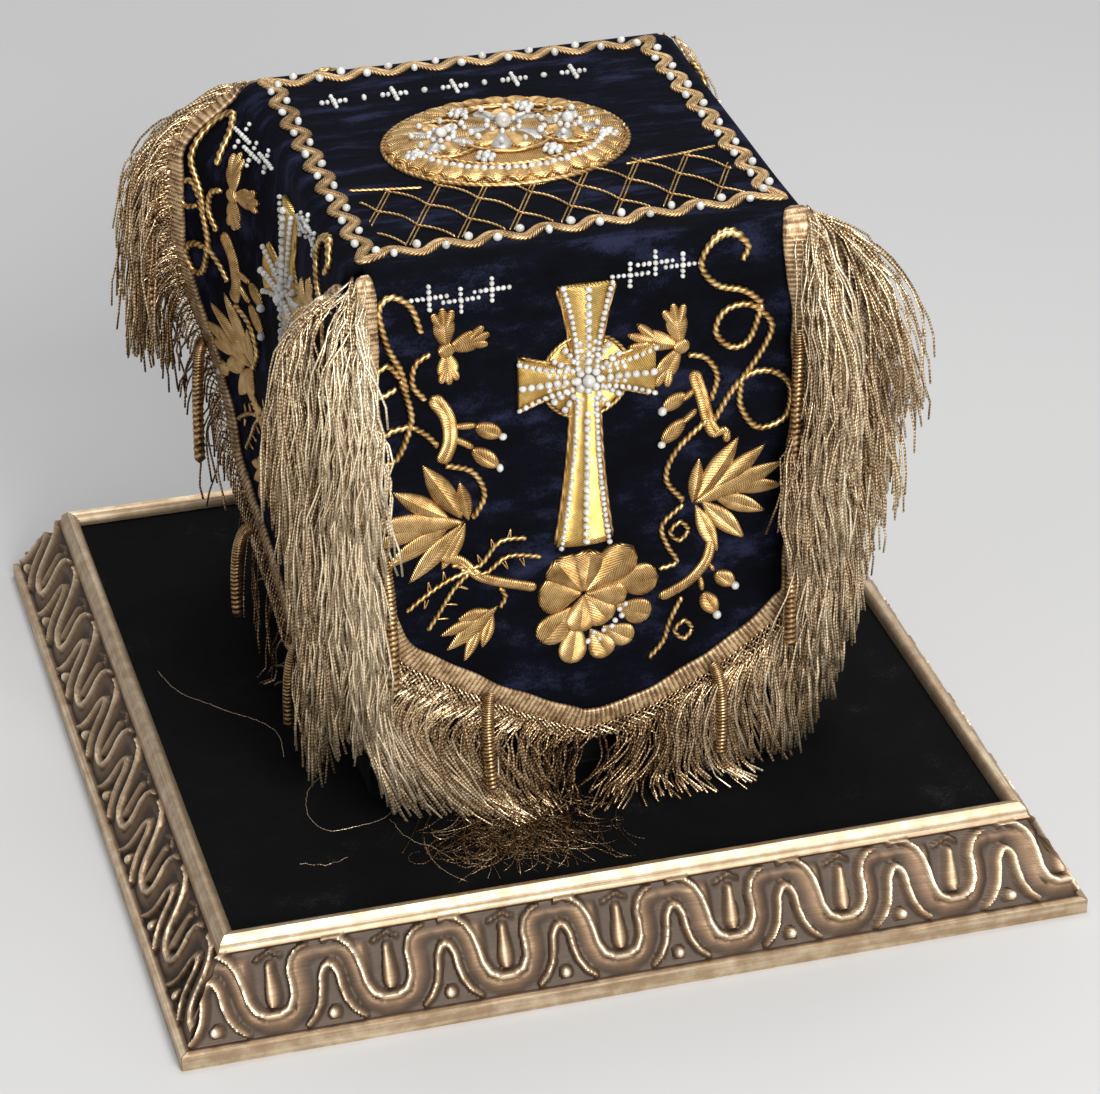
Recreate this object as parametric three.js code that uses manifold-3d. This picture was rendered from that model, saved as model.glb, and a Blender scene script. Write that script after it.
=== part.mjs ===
// A chalice veil of dark blue velvet, shown on its display block and framed base.
// The veil is one cross-shaped cloth: a square top and four flaps, each edged with a
// metal-thread fringe and sewn with padded gold embroidery.
// Millimetres, +Z up, origin at the middle of the base's underside, front flap towards -Y.

import * as THREE from 'three';
import { mergeVertices } from 'three/addons/utils/BufferGeometryUtils.js';
import Module from 'manifold-3d';

const wasm = await Module();
wasm.setup();

// Clearance between pieces that touch on the real object
const SEAT_GAP = 0.3;

// Framed base
const BASE_HALF = 151;
const MITRE_GAP = 0.3;
const PANEL_TOP = 30.5;
const PANEL_THICKNESS = 6;
const GROOVE_DEPTH = 19;
const LIP_DEPTH = 21.9;
const LEDGE_DEPTH = 27;
const LIP_CROWN = 35.3;

// Display block inside the veil
const BLOCK_HALF = 70;
const BLOCK_TOP = 225.7;
const BLOCK_ROUNDING = 4;

// Veil cloth, measured on its middle layer
const CLOTH_THICKNESS = 1.6;
const ARM_HALF = 69;
const FOLD_RADIUS = 3.8;
const FOLD_ARC = FOLD_RADIUS * Math.PI / 2;
const TOP_LEVEL = BLOCK_TOP + SEAT_GAP + CLOTH_THICKNESS / 2;
const TIP_LEVEL = 58;
const SHOULDER_WIDTH = 17;

// How the cut edge climbs from a flap's tip to its side: the front flap hangs lower on one side
const SQUARE_EDGE = { rise: 42, curve: 1.15, rounding: 16 };
const LOW_EDGE = { rise: 36, curve: 1.8, rounding: 0 };

// One row for each flap: how far it turns round the block, how far its belly and its two
// side edges stand off the block, how far its tip kicks out, and the shape of its last edge.
const FLAPS = [
  { name: 'front', turn: 0, belly: 1.5, firstFlare: 3, lastFlare: 2, tipKick: 3, lastEdge: LOW_EDGE },
  { name: 'right', turn: 90, belly: 4, firstFlare: 4, lastFlare: 6, tipKick: 3, lastEdge: SQUARE_EDGE },
  { name: 'back', turn: 180, belly: 3, firstFlare: 6, lastFlare: 5, tipKick: 3, lastEdge: SQUARE_EDGE },
  { name: 'left', turn: 270, belly: 3, firstFlare: 22, lastFlare: 4, tipKick: 4, lastEdge: SQUARE_EDGE },
];

// How far down a flap its flares grow and fade, its belly runs and its tip starts to kick out
const FLARE_GROWTH = 26;
const FLARE_FADE_FROM = 45;
const FLARE_FADE_OVER = 80;
const FLARE_FADE = 0.7;
const BELLY_DROP = 170;
const KICK_FROM = 90;
const KICK_OVER = 85;

// Fringe: a woven heading band, fine locks and thick coiled bullions
const BAND_OVERLAP = 1;
const BAND_OUTSET = 4.6;
const BAND_THICKNESS = 1.4;
const FIRST_LOCK_DROP = 9;
const LOCK_RADIUS = 1;
const LOCK_LENGTH = 56;
const LOCK_STEPS = 4;
const SIDE_LOCKS = 12;
const BOTTOM_LOCKS = 9;
const SIDE_FAN_DEGREES = [12, 26, 40];
const SIDE_REACH_TOP = 31;
const SIDE_REACH_LOW = 13;
const SIDE_END_GAP = 4;
const BOTTOM_REACH = 7;
const BOTTOM_LEAN = 0.35;
const FLOOR_REST = 9;
const ROOT_INSET = 1;
// Share of its reach that a lock loses from its fall, and how late it starts to fall
const REACH_COST = 0.35;
const FALL_CURVE = 1.5;
const BULLION_RADIUS = 2.3;
const BULLION_LENGTH = 48;
const BULLION_STEPS = 4;
const BULLION_INSET = 0.4;
// One row for each bullion of a flap: its place along the edge, from -1 at the first top
// corner over 0 at the tip to 1 at the last, as a share of the edge on that side.
const BULLIONS = [
  { along: -0.82 }, { along: -0.56 }, { along: -0.2 }, { along: 0.19 }, { along: 0.5 }, { along: 0.82 },
];

// Embroidery
const PAD_GAP = 0.5;
// The braid's corners on the top, front left first and counter-clockwise seen from above; it was
// sewn a little askew.
const BRAID_CORNERS = [
  new THREE.Vector2(-66.5, -64), new THREE.Vector2(66, -57),
  new THREE.Vector2(62.5, 64), new THREE.Vector2(-66.5, 65),
];
const BRAID_SWING = 2.4;
const BRAID_WAVES = 8;
const BRAID_WIDTH = 4;
const BRAID_THICKNESS = 1;

const COLOURS = {
  velvet: new THREE.MeshStandardMaterial({ color: 0x0b1030, roughness: 0.9, metalness: 0 }),
  fringe: new THREE.MeshStandardMaterial({ color: 0xa88c62, roughness: 0.45, metalness: 0.7 }),
  gold: new THREE.MeshStandardMaterial({ color: 0xb98a45, roughness: 0.4, metalness: 0.8 }),
  gilt: new THREE.MeshStandardMaterial({ color: 0x9a8468, roughness: 0.45, metalness: 0.5 }),
  black: new THREE.MeshStandardMaterial({ color: 0x0a0a0b, roughness: 0.85, metalness: 0 }),
};

const object = new THREE.Group();

function addPiece(name, geometry, material) {
  const mesh = new THREE.Mesh(geometry, material);
  mesh.name = name;
  object.add(mesh);
  return mesh;
}

function smooth(x) {
  const t = THREE.MathUtils.clamp(x, 0, 1);
  return t * t * (3 - 2 * t);
}

function indexedGeometry(positions, triangles) {
  const geometry = new THREE.BufferGeometry();
  geometry.setAttribute('position', new THREE.Float32BufferAttribute(positions, 3));
  geometry.setIndex(triangles);
  return geometry;
}

// Solids joined by union

function toManifold(geometry) {
  const bare = geometry.clone();
  bare.deleteAttribute('normal');
  bare.deleteAttribute('uv');
  const merged = mergeVertices(bare, 1e-4);
  return new wasm.Manifold(new wasm.Mesh({
    numProp: 3,
    vertProperties: new Float32Array(merged.attributes.position.array),
    triVerts: new Uint32Array(merged.index.array),
  }));
}

function joined(geometries) {
  const mesh = geometries.map(toManifold).reduce((whole, next) => whole.add(next)).getMesh();
  return indexedGeometry(Array.from(mesh.vertProperties), Array.from(mesh.triVerts));
}

// The cloth lying flat: points that know their place in the hung cloth, and triangles

class FlatMesh {
  constructor() {
    this.points = [];
    this.triangles = [];
    this.known = new Map();
  }

  // A point at flat place (x, y); at(lift) is where it hangs, lifted off the middle layer.
  point(x, y, at, rise = 1) {
    const key = `${x.toFixed(3)},${y.toFixed(3)}`;
    if (!this.known.has(key)) {
      this.known.set(key, this.points.length);
      this.points.push({ at, rise });
    }
    return this.known.get(key);
  }

  quad(a, b, c, d) {
    this.triangles.push([a, b, c], [a, c, d]);
  }

  // The closed body between two lifts off the cloth; a point's rise scales the upper one.
  body(lowLift, highLift) {
    const count = this.points.length;
    const upper = this.points.map(({ at, rise }) => at(lowLift + (highLift - lowLift) * rise));
    const lower = this.points.map(({ at }) => at(lowLift));
    const faces = [];
    const rim = new Map();
    for (const [a, b, c] of this.triangles) {
      faces.push(a, b, c, a + count, c + count, b + count);
      for (const [p, q] of [[a, b], [b, c], [c, a]]) {
        if (!rim.delete(`${q},${p}`)) rim.set(`${p},${q}`, [p, q]);
      }
    }
    for (const [p, q] of rim.values()) {
      faces.push(q, p, p + count, q, p + count, q + count);
    }
    return indexedGeometry([...upper, ...lower].flatMap((v) => v.toArray()), faces);
  }
}

// How the cloth hangs

function edgeLevel(flap, t) {
  const edge = t > 0 ? flap.lastEdge : SQUARE_EDGE;
  const share = Math.min(Math.abs(t) / ARM_HALF, 1);
  const shoulder = smooth((Math.abs(t) - (ARM_HALF - SHOULDER_WIDTH)) / SHOULDER_WIDTH);
  return TIP_LEVEL + edge.rise * share ** edge.curve + edge.rounding * shoulder ** 2;
}

// Distance down the flap from the top's edge to the cut edge, at t across the flap
function edgeDrop(flap, t) {
  return FOLD_ARC + TOP_LEVEL - FOLD_RADIUS - edgeLevel(flap, t);
}

// How far the flap swells off its upright plane
function swell(flap, t, drop) {
  const across = t / ARM_HALF;
  const flare = across < 0 ? flap.firstFlare : flap.lastFlare;
  const flareFade = 1 - FLARE_FADE * smooth((drop - FLARE_FADE_FROM) / FLARE_FADE_OVER);
  const flareDown = smooth(drop / FLARE_GROWTH) * flareFade;
  const bellyDown = Math.sin(Math.PI * THREE.MathUtils.clamp(drop / BELLY_DROP, 0, 1));
  const tipDown = smooth((drop - KICK_FROM) / KICK_OVER);
  return flare * across ** 2 * flareDown + flap.belly * bellyDown + flap.tipKick * tipDown;
}

function hangMiddle(flap, t, drop) {
  const bend = THREE.MathUtils.clamp(drop / FOLD_RADIUS, 0, Math.PI / 2);
  const below = Math.max(drop - FOLD_ARC, 0);
  const before = Math.min(drop, 0);
  const out = ARM_HALF + before + FOLD_RADIUS * Math.sin(bend) + swell(flap, t, drop);
  const level = TOP_LEVEL - FOLD_RADIUS + FOLD_RADIUS * Math.cos(bend) - below;
  return new THREE.Vector3(t, -out, level);
}

function hang(flap, t, drop, lift) {
  const step = 0.5;
  const acrossWay = hangMiddle(flap, t + step, drop).sub(hangMiddle(flap, t - step, drop));
  const downWay = hangMiddle(flap, t, drop + step).sub(hangMiddle(flap, t, drop - step));
  const outward = downWay.cross(acrossWay).normalize();
  return hangMiddle(flap, t, drop).addScaledVector(outward, lift);
}

const UP = new THREE.Vector3(0, 0, 1);

function turned(flap, vector) {
  return vector.applyAxisAngle(UP, THREE.MathUtils.degToRad(flap.turn));
}

// A flat point on a flap, at t across it and drop below the top's edge
function flapPoint(mesh, flap, t, drop, rise) {
  const flat = turned(flap, new THREE.Vector3(t, -ARM_HALF - drop, 0));
  return mesh.point(flat.x, flat.y, (lift) => turned(flap, hang(flap, t, drop, lift)), rise);
}

function topPoint(mesh, x, y, rise) {
  return mesh.point(x, y, (lift) => new THREE.Vector3(x, y, TOP_LEVEL + lift), rise);
}

// Base: four mitred rails of one moulding round a black panel

// The moulding's section, depth counted inwards from the base's outer edge
const LEDGE_LEVEL = PANEL_TOP - PANEL_THICKNESS - SEAT_GAP;
const LIP_LEVEL = PANEL_TOP + SEAT_GAP;
const RAIL_SECTION = [
  { depth: 0, level: 0 },
  { depth: LEDGE_DEPTH, level: 0 },
  { depth: LEDGE_DEPTH, level: LEDGE_LEVEL },
  { depth: GROOVE_DEPTH, level: LEDGE_LEVEL },
  { depth: GROOVE_DEPTH, level: LIP_LEVEL },
  { depth: LIP_DEPTH, level: LIP_LEVEL },
  { depth: LIP_DEPTH, level: 33.4 },
  { depth: 20.6, level: 35 },
  { depth: 18.6, level: LIP_CROWN },
  { depth: 16.8, level: 33.4 },
  { depth: 16.4, level: 31.4 },
  { depth: 15.6, level: 30.6 },
  { depth: 1.6, level: 5.6 },
  { depth: 0, level: 5.2 },
];

function railGeometry() {
  const section = new THREE.Shape(RAIL_SECTION.map(({ depth, level }) => new THREE.Vector2(depth, level)));
  const geometry = new THREE.ExtrudeGeometry(section, { depth: 1, bevelEnabled: false });
  const place = geometry.attributes.position;
  for (let i = 0; i < place.count; i += 1) {
    const depth = place.getX(i);
    const end = place.getZ(i) > 0.5 ? 1 : -1;
    place.setXYZ(i, end * (BASE_HALF - depth - MITRE_GAP / 2), depth - BASE_HALF, place.getY(i));
  }
  geometry.deleteAttribute('normal');
  geometry.deleteAttribute('uv');
  return mergeVertices(geometry, 1e-4);
}

function addBase() {
  for (const { name, turn } of FLAPS) {
    const rail = addPiece(`base_rail_${name}`, railGeometry(), COLOURS.gilt);
    rail.rotation.z = THREE.MathUtils.degToRad(turn);
  }
  const panelWidth = 2 * (BASE_HALF - GROOVE_DEPTH - SEAT_GAP);
  const panel = new THREE.BoxGeometry(panelWidth, panelWidth, PANEL_THICKNESS);
  addPiece('base_panel', panel, COLOURS.black).position.z = PANEL_TOP - PANEL_THICKNESS / 2;
}

// Block: a plain upright block with softened edges, which carries the cloth's top

function addBlock() {
  const half = BLOCK_HALF;
  const corners = [[-half, -half], [half, -half], [half, half], [-half, half]];
  const section = new THREE.Shape(corners.map(([x, y]) => new THREE.Vector2(x, y)));
  const height = BLOCK_TOP - PANEL_TOP - SEAT_GAP;
  const geometry = new THREE.ExtrudeGeometry(section, {
    depth: height - 2 * BLOCK_ROUNDING,
    bevelThickness: BLOCK_ROUNDING,
    bevelSize: BLOCK_ROUNDING,
    bevelOffset: -BLOCK_ROUNDING,
    bevelSegments: 1,
  });
  const block = addPiece('display_block', geometry, COLOURS.black);
  block.position.z = PANEL_TOP + SEAT_GAP + BLOCK_ROUNDING;
}

// Veil: one cross-shaped cloth, its top on the block and its four flaps hanging

const ACROSS_SHARES = [-1, -0.95, -0.86, -0.68, -0.44, -0.2, 0, 0.2, 0.44, 0.68, 0.86, 0.95, 1];
const FOLD_ROWS = [0, 2, 4, 6];
const FLAP_ROWS = 10;

function flapRows(flap, t) {
  const first = FOLD_ROWS[FOLD_ROWS.length - 1];
  const room = edgeDrop(flap, t) - first;
  const lower = Array.from({ length: FLAP_ROWS }, (_, k) => first + room * (k + 1) / FLAP_ROWS);
  return [...FOLD_ROWS, ...lower];
}

function addVeil() {
  const cloth = new FlatMesh();
  const across = ACROSS_SHARES.map((share) => share * ARM_HALF);
  const middle = topPoint(cloth, 0, 0);
  for (const flap of FLAPS) {
    const border = across.map((t) => flapPoint(cloth, flap, t, 0));
    for (let column = 1; column < border.length; column += 1) {
      cloth.triangles.push([middle, border[column - 1], border[column]]);
    }
    const columns = across.map((t) => flapRows(flap, t).map((drop) => flapPoint(cloth, flap, t, drop)));
    for (let column = 1; column < columns.length; column += 1) {
      const [left, right] = [columns[column - 1], columns[column]];
      for (let row = 1; row < left.length; row += 1) {
        cloth.quad(left[row], right[row], right[row - 1], left[row - 1]);
      }
    }
  }
  addPiece('veil_cloth', cloth.body(-CLOTH_THICKNESS / 2, CLOTH_THICKNESS / 2), COLOURS.velvet);
}

// Fringe: a heading band round each flap's edge, with its locks and bullions

const EDGE_SHARES = [0.985, 0.955, 0.91, 0.86, 0.8, 0.68, 0.52, 0.34, 0.16];

// The cut edge of a flap from its first top corner round the tip to its last one
function flapEdge(flap) {
  const half = (end) => [
    ...flapRows(flap, end * ARM_HALF).slice(FOLD_ROWS.length - 1)
      .map((drop) => new THREE.Vector2(end * ARM_HALF, drop)),
    ...EDGE_SHARES.map((share) => end * share * ARM_HALF)
      .map((t) => new THREE.Vector2(t, edgeDrop(flap, t))),
  ];
  return [...half(-1), new THREE.Vector2(0, edgeDrop(flap, 0)), ...half(1).reverse()];
}

// The way out of the flap at each point of its edge, longer at a corner so that bands keep their width
function edgeOutwards(edge) {
  return edge.map((p, i) => {
    const before = edge[Math.max(i - 1, 0)];
    const after = edge[Math.min(i + 1, edge.length - 1)];
    const way = after.clone().sub(before).normalize();
    const out = new THREE.Vector2(-way.y, way.x);
    const along = (i > 0 ? p.clone().sub(before) : after.clone().sub(p)).normalize();
    return out.divideScalar(Math.max(along.dot(way), 0.5));
  });
}

// A place on the edge: share 0 is its first end and 1 its last
function alongEdge(edge, share) {
  const lengths = [0];
  for (let i = 1; i < edge.length; i += 1) {
    lengths.push(lengths[i - 1] + edge[i].distanceTo(edge[i - 1]));
  }
  const target = share * lengths[lengths.length - 1];
  let i = 1;
  while (i < edge.length - 1 && lengths[i] < target) i += 1;
  const part = (target - lengths[i - 1]) / (lengths[i] - lengths[i - 1]);
  return edge[i - 1].clone().lerp(edge[i], part);
}

const BAND_LIFT = CLOTH_THICKNESS / 2 + SEAT_GAP;

function bandBody(flap, edge, outwards) {
  const band = new FlatMesh();
  const rows = edge.map((p, i) => [-BAND_OVERLAP, BAND_OUTSET].map((shift) => {
    const place = p.clone().addScaledVector(outwards[i], shift);
    return flapPoint(band, flap, place.x, place.y);
  }));
  for (let i = 1; i < rows.length; i += 1) {
    band.quad(rows[i - 1][0], rows[i - 1][1], rows[i][1], rows[i][0]);
  }
  return band.body(BAND_LIFT, BAND_LIFT + BAND_THICKNESS);
}

// A strand of a few flat sides along a line of points
function strand(points, radius, sides, steps) {
  const corners = Array.from({ length: sides }, (_, k) => {
    const angle = 2 * Math.PI * k / sides;
    return new THREE.Vector2(radius * Math.cos(angle), radius * Math.sin(angle));
  });
  const section = new THREE.Shape(corners);
  const extrudePath = new THREE.CatmullRomCurve3(points);
  return new THREE.ExtrudeGeometry(section, { steps, bevelEnabled: false, extrudePath });
}

const STRAND_SHARES = [0, 0.15, 0.35, 0.6, 0.8, 1];
const STRAND_FLOOR = PANEL_TOP + SEAT_GAP + LOCK_RADIUS;
const FLOOR_BEND = 3;

// The level of a strand that bends softly onto the panel instead of passing it
function restLevel(level) {
  return STRAND_FLOOR + FLOOR_BEND * Math.log1p(Math.exp((level - STRAND_FLOOR) / FLOOR_BEND));
}

// A lock leaves the band, bends over within its reach and falls; what would pass the panel lies on it.
function lockPoints(root, outWay, reach) {
  const room = root.z - STRAND_FLOOR + FLOOR_REST;
  const fall = Math.min(LOCK_LENGTH - REACH_COST * reach, room);
  return STRAND_SHARES.map((share) => {
    const out = reach * (1 - (1 - share) ** 2);
    const point = root.clone().addScaledVector(outWay, out);
    point.z -= fall * share ** FALL_CURVE;
    const spare = restLevel(point.z) - point.z;
    return point.addScaledVector(outWay, spare).setZ(point.z + spare);
  });
}

function sideLock(flap, end, index) {
  const down = index / (SIDE_LOCKS - 1);
  const drop = THREE.MathUtils.lerp(FIRST_LOCK_DROP, edgeDrop(flap, end * ARM_HALF) - SIDE_END_GAP, down);
  const t = end * (ARM_HALF + BAND_OUTSET - ROOT_INSET);
  const root = hang(flap, t, drop, BAND_LIFT + BAND_THICKNESS / 2);
  const fan = THREE.MathUtils.degToRad(SIDE_FAN_DEGREES[index % SIDE_FAN_DEGREES.length]);
  const outWay = new THREE.Vector3(end * Math.sin(fan), -Math.cos(fan), 0);
  const reach = THREE.MathUtils.lerp(SIDE_REACH_TOP, SIDE_REACH_LOW, down);
  return lockPoints(root, outWay, reach);
}

function bottomLock(flap, end, index) {
  const share = (index + 0.5) / BOTTOM_LOCKS;
  const t = end * share * (ARM_HALF - SIDE_END_GAP);
  const root = hang(flap, t, edgeDrop(flap, t) + BAND_OUTSET - ROOT_INSET, BAND_LIFT + BAND_THICKNESS / 2);
  const outWay = new THREE.Vector3(end * BOTTOM_LEAN * share, -1, 0).normalize();
  return lockPoints(root, outWay, BOTTOM_REACH);
}

const BULLION_SHARES = [0.08, 0.36, 0.68, 1];

// A bullion hangs in front of the band and follows the cloth down
function bullionPoints(flap, edge, along) {
  const place = alongEdge(edge, (along + 1) / 2);
  const inset = Math.abs(place.x) > ARM_HALF - 1 ? BULLION_INSET : 0;
  const t = place.x - Math.sign(place.x) * inset;
  const stand = BAND_LIFT + BAND_THICKNESS + SEAT_GAP + BULLION_RADIUS;
  const root = hang(flap, t, place.y - BULLION_RADIUS, BAND_LIFT + SEAT_GAP + BULLION_RADIUS);
  const room = root.z - PANEL_TOP - SEAT_GAP - BULLION_RADIUS;
  const length = Math.min(BULLION_LENGTH, room);
  return [root, ...BULLION_SHARES.map((share) => hang(flap, t, place.y + length * share, stand))];
}

function turnedStrand(flap, points) {
  return strand(points.map((p) => turned(flap, p)), LOCK_RADIUS, 3, LOCK_STEPS);
}

function addFringe(flap) {
  const edge = flapEdge(flap);
  const outwards = edgeOutwards(edge);
  const parts = [bandBody(flap, edge, outwards)];
  for (const end of [-1, 1]) {
    for (let i = 0; i < SIDE_LOCKS; i += 1) parts.push(turnedStrand(flap, sideLock(flap, end, i)));
    for (let i = 0; i < BOTTOM_LOCKS; i += 1) parts.push(turnedStrand(flap, bottomLock(flap, end, i)));
  }
  for (const { along } of BULLIONS) {
    const points = bullionPoints(flap, edge, along).map((p) => turned(flap, p));
    parts.push(strand(points, BULLION_RADIUS, 4, BULLION_STEPS));
  }
  addPiece(`fringe_${flap.name}`, joined(parts), COLOURS.fringe);
}

// Embroidery: padded gold shapes, domed over their stuffing and sewn to the cloth

const PAD_RINGS = [{ share: 0, rise: 1 }, { share: 0.55, rise: 0.9 }, { share: 1, rise: 0.45 }];

// A padded shape: its outline as points round (0, 0), put on the cloth by put(mesh, x, y, rise)
function padBody(outline, height, put) {
  const pad = new FlatMesh();
  const rings = PAD_RINGS.map(({ share, rise }) => {
    return outline.map((p) => put(pad, p.x * share, p.y * share, rise));
  });
  outline.forEach((_, i) => {
    const next = (i + 1) % outline.length;
    pad.triangles.push([rings[0][0], rings[1][i], rings[1][next]]);
    pad.quad(rings[1][i], rings[2][i], rings[2][next], rings[1][next]);
  });
  const foot = CLOTH_THICKNESS / 2 + PAD_GAP;
  return pad.body(foot, foot + height);
}

function roundOutline(count, radius) {
  return Array.from({ length: count }, (_, i) => {
    const angle = 2 * Math.PI * i / count;
    return new THREE.Vector2(Math.cos(angle), Math.sin(angle)).multiplyScalar(radius(angle));
  });
}

const CROSS_DROP = 46;
const CROSS_UPPER = 32;
const CROSS_LOWER = 60;
const CROSS_ARM = 22;
const CROSS_NOTCH = 4;
const CROSS_WAIST = 5;
const CROSS_FLARE = 10;
const CROSS_HEIGHT = 3;
const ROSETTE_DROP = 131;
const ROSETTE_RADIUS = 22;
const ROSETTE_PETALS = 8;
const PETAL_DEPTH = 0.1;
const ROSETTE_HEIGHT = 2.6;
const LEAF_ACROSS = 50;
const LEAF_DROP = 89;
const LEAF_LOBES = 5;
const LOBE_DEPTH = 0.28;
const LEAF_RADIUS = 15;
const LEAF_HEIGHT = 1.6;
const MEDALLION_WIDTH = 80;
const MEDALLION_DEPTH = 62;
const MEDALLION_HEIGHT = 4;
const MEDALLION_LEFT = 4;
const MEDALLION_BACK = 1.5;
const MEDALLION_SIDES = 28;

// A cross with flared arms and a longer foot; y runs up the flap
function crossOutline() {
  const arms = [[1, 0, CROSS_ARM], [0, 1, CROSS_UPPER], [-1, 0, CROSS_ARM], [0, -1, CROSS_LOWER]];
  return arms.flatMap(([dx, dy, reach]) => [
    new THREE.Vector2(dx * reach + dy * CROSS_FLARE, dy * reach - dx * CROSS_FLARE),
    new THREE.Vector2(dx * (reach - CROSS_NOTCH), dy * (reach - CROSS_NOTCH)),
    new THREE.Vector2(dx * reach - dy * CROSS_FLARE, dy * reach + dx * CROSS_FLARE),
    new THREE.Vector2((dx - dy) * CROSS_WAIST, (dy + dx) * CROSS_WAIST),
  ]);
}

function addFlapEmbroidery(flap) {
  const putAt = (t, drop) => (mesh, x, y, rise) => flapPoint(mesh, flap, t + x, drop - y, rise);
  const wavy = (depth, count, angle) => 1 - depth + depth * Math.cos(count * angle);
  const petals = (angle) => ROSETTE_RADIUS * wavy(PETAL_DEPTH, ROSETTE_PETALS, angle);
  const lobes = (angle) => LEAF_RADIUS * wavy(LOBE_DEPTH, LEAF_LOBES, angle);
  const cross = padBody(crossOutline(), CROSS_HEIGHT, putAt(0, CROSS_DROP));
  addPiece(`cross_${flap.name}`, cross, COLOURS.gold);
  const flower = roundOutline(3 * ROSETTE_PETALS, petals);
  const rosette = padBody(flower, ROSETTE_HEIGHT, putAt(0, ROSETTE_DROP));
  addPiece(`rosette_${flap.name}`, rosette, COLOURS.gold);
  const blade = roundOutline(4 * LEAF_LOBES, lobes);
  for (const [side, end] of [['first', -1], ['last', 1]]) {
    const leaf = padBody(blade, LEAF_HEIGHT, putAt(end * LEAF_ACROSS, LEAF_DROP));
    addPiece(`leaf_${side}_${flap.name}`, leaf, COLOURS.gold);
  }
}

// The wavy braid that borders the top, as one closed ring
function addBraid() {
  const braid = new FlatMesh();
  const steps = 2 * BRAID_WAVES;
  const rows = [];
  const outOf = BRAID_CORNERS.map((corner, k) => {
    const way = BRAID_CORNERS[(k + 1) % 4].clone().sub(corner).normalize();
    return new THREE.Vector2(way.y, -way.x);
  });
  BRAID_CORNERS.forEach((corner, k) => {
    for (let i = 0; i < steps; i += 1) {
      const middle = corner.clone().lerp(BRAID_CORNERS[(k + 1) % 4], i / steps);
      const out = i === 0 ? outOf[k].clone().add(outOf[(k + 3) % 4]) : outOf[k];
      const swing = i % 2 === 0 ? BRAID_SWING : -BRAID_SWING;
      rows.push([-1, 1].map((side) => {
        const place = middle.clone().addScaledVector(out, swing + side * BRAID_WIDTH / 2);
        return topPoint(braid, place.x, place.y);
      }));
    }
  });
  rows.forEach((row, i) => {
    const next = rows[(i + 1) % rows.length];
    braid.quad(row[0], row[1], next[1], next[0]);
  });
  const foot = CLOTH_THICKNESS / 2 + SEAT_GAP;
  addPiece('top_braid', braid.body(foot, foot + BRAID_THICKNESS), COLOURS.gold);
}

function addMedallion() {
  const size = new THREE.Vector2(MEDALLION_WIDTH / 2, MEDALLION_DEPTH / 2);
  const oval = roundOutline(MEDALLION_SIDES, () => 1).map((p) => p.multiply(size));
  const put = (mesh, x, y, rise) => topPoint(mesh, x - MEDALLION_LEFT, y + MEDALLION_BACK, rise);
  addPiece('top_medallion', padBody(oval, MEDALLION_HEIGHT, put), COLOURS.gold);
}

addBase();
addBlock();
addVeil();
addBraid();
addMedallion();
for (const flap of FLAPS) {
  addFringe(flap);
  addFlapEmbroidery(flap);
}

export default object;
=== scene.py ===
import math

import bmesh
import bpy
import numpy as np
from mathutils import Matrix, Vector


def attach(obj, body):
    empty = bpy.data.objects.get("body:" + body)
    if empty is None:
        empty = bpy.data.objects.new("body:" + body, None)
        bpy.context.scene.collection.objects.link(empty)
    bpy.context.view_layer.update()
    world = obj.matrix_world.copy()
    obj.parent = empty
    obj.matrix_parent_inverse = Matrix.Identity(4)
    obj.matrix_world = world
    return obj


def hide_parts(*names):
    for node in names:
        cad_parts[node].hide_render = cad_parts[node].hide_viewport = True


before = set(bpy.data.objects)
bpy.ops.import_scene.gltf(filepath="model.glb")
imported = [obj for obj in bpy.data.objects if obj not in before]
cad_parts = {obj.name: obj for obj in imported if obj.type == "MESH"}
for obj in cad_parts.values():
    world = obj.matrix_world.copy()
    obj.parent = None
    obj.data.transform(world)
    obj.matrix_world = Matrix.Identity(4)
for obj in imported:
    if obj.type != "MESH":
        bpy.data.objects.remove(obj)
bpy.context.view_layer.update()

# ---- Carved rails
# Four lengths of one wooden moulding, mitred at the corners, with a plain lip round the panel and a
# plain foot. The slope between them is carved with a winding ribbon, darts and pellets, and all of it
# carries a worn silver-gilt, darker in the carving's hollows, partly from painted shade.

MM = 0.001
RAIL_HALF = 151.0
RAIL_MITRE_GAP = 0.15
RAIL_STEPS = {"front": 520, "right": 320, "back": 320, "left": 520}
CARVED_ROW = 10
RAIL_SECTION = [  # depth from the outer face, level, steps to the next corner
    (27.0, 0.0, 1),
    (27.0, 24.2, 1),
    (19.0, 24.2, 1),
    (19.0, 30.8, 1),
    (21.9, 30.8, 1),
    (21.9, 33.4, 2),
    (20.6, 35.0, 2),
    (18.6, 35.3, 3),
    (16.8, 33.4, 2),
    (16.4, 31.4, 1),
    (15.6, 30.6, 36),
    (1.6, 5.6, 1),
    (0.0, 5.2, 1),
    (0.0, 0.0, 1),
]
CARVING_REPEAT = 37.75
CARVING_PHASE = 7.0
SLOPE_DEPTH, SLOPE_RISE = 14.0, 25.0
CARVING_HEIGHT = math.hypot(SLOPE_DEPTH, SLOPE_RISE)
CARVED_GROUND = -1.5
CARVING_MARGIN = 0.9
RIBBON_LINE = [  # along from the ribbon's lowest bend, up the slope
    (-20.0, 27.6), (-17.4, 28.3), (-14.4, 27.6), (-11.6, 25.2), (-9.6, 21.6), (-8.3, 17.0),
    (-7.4, 12.4), (-5.4, 8.6), (-2.0, 6.8), (2.0, 6.8), (5.2, 8.4), (6.9, 12.0), (6.9, 16.2),
    (6.4, 20.0), (7.2, 23.6), (9.2, 26.0), (12.0, 27.2),
]
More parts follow.
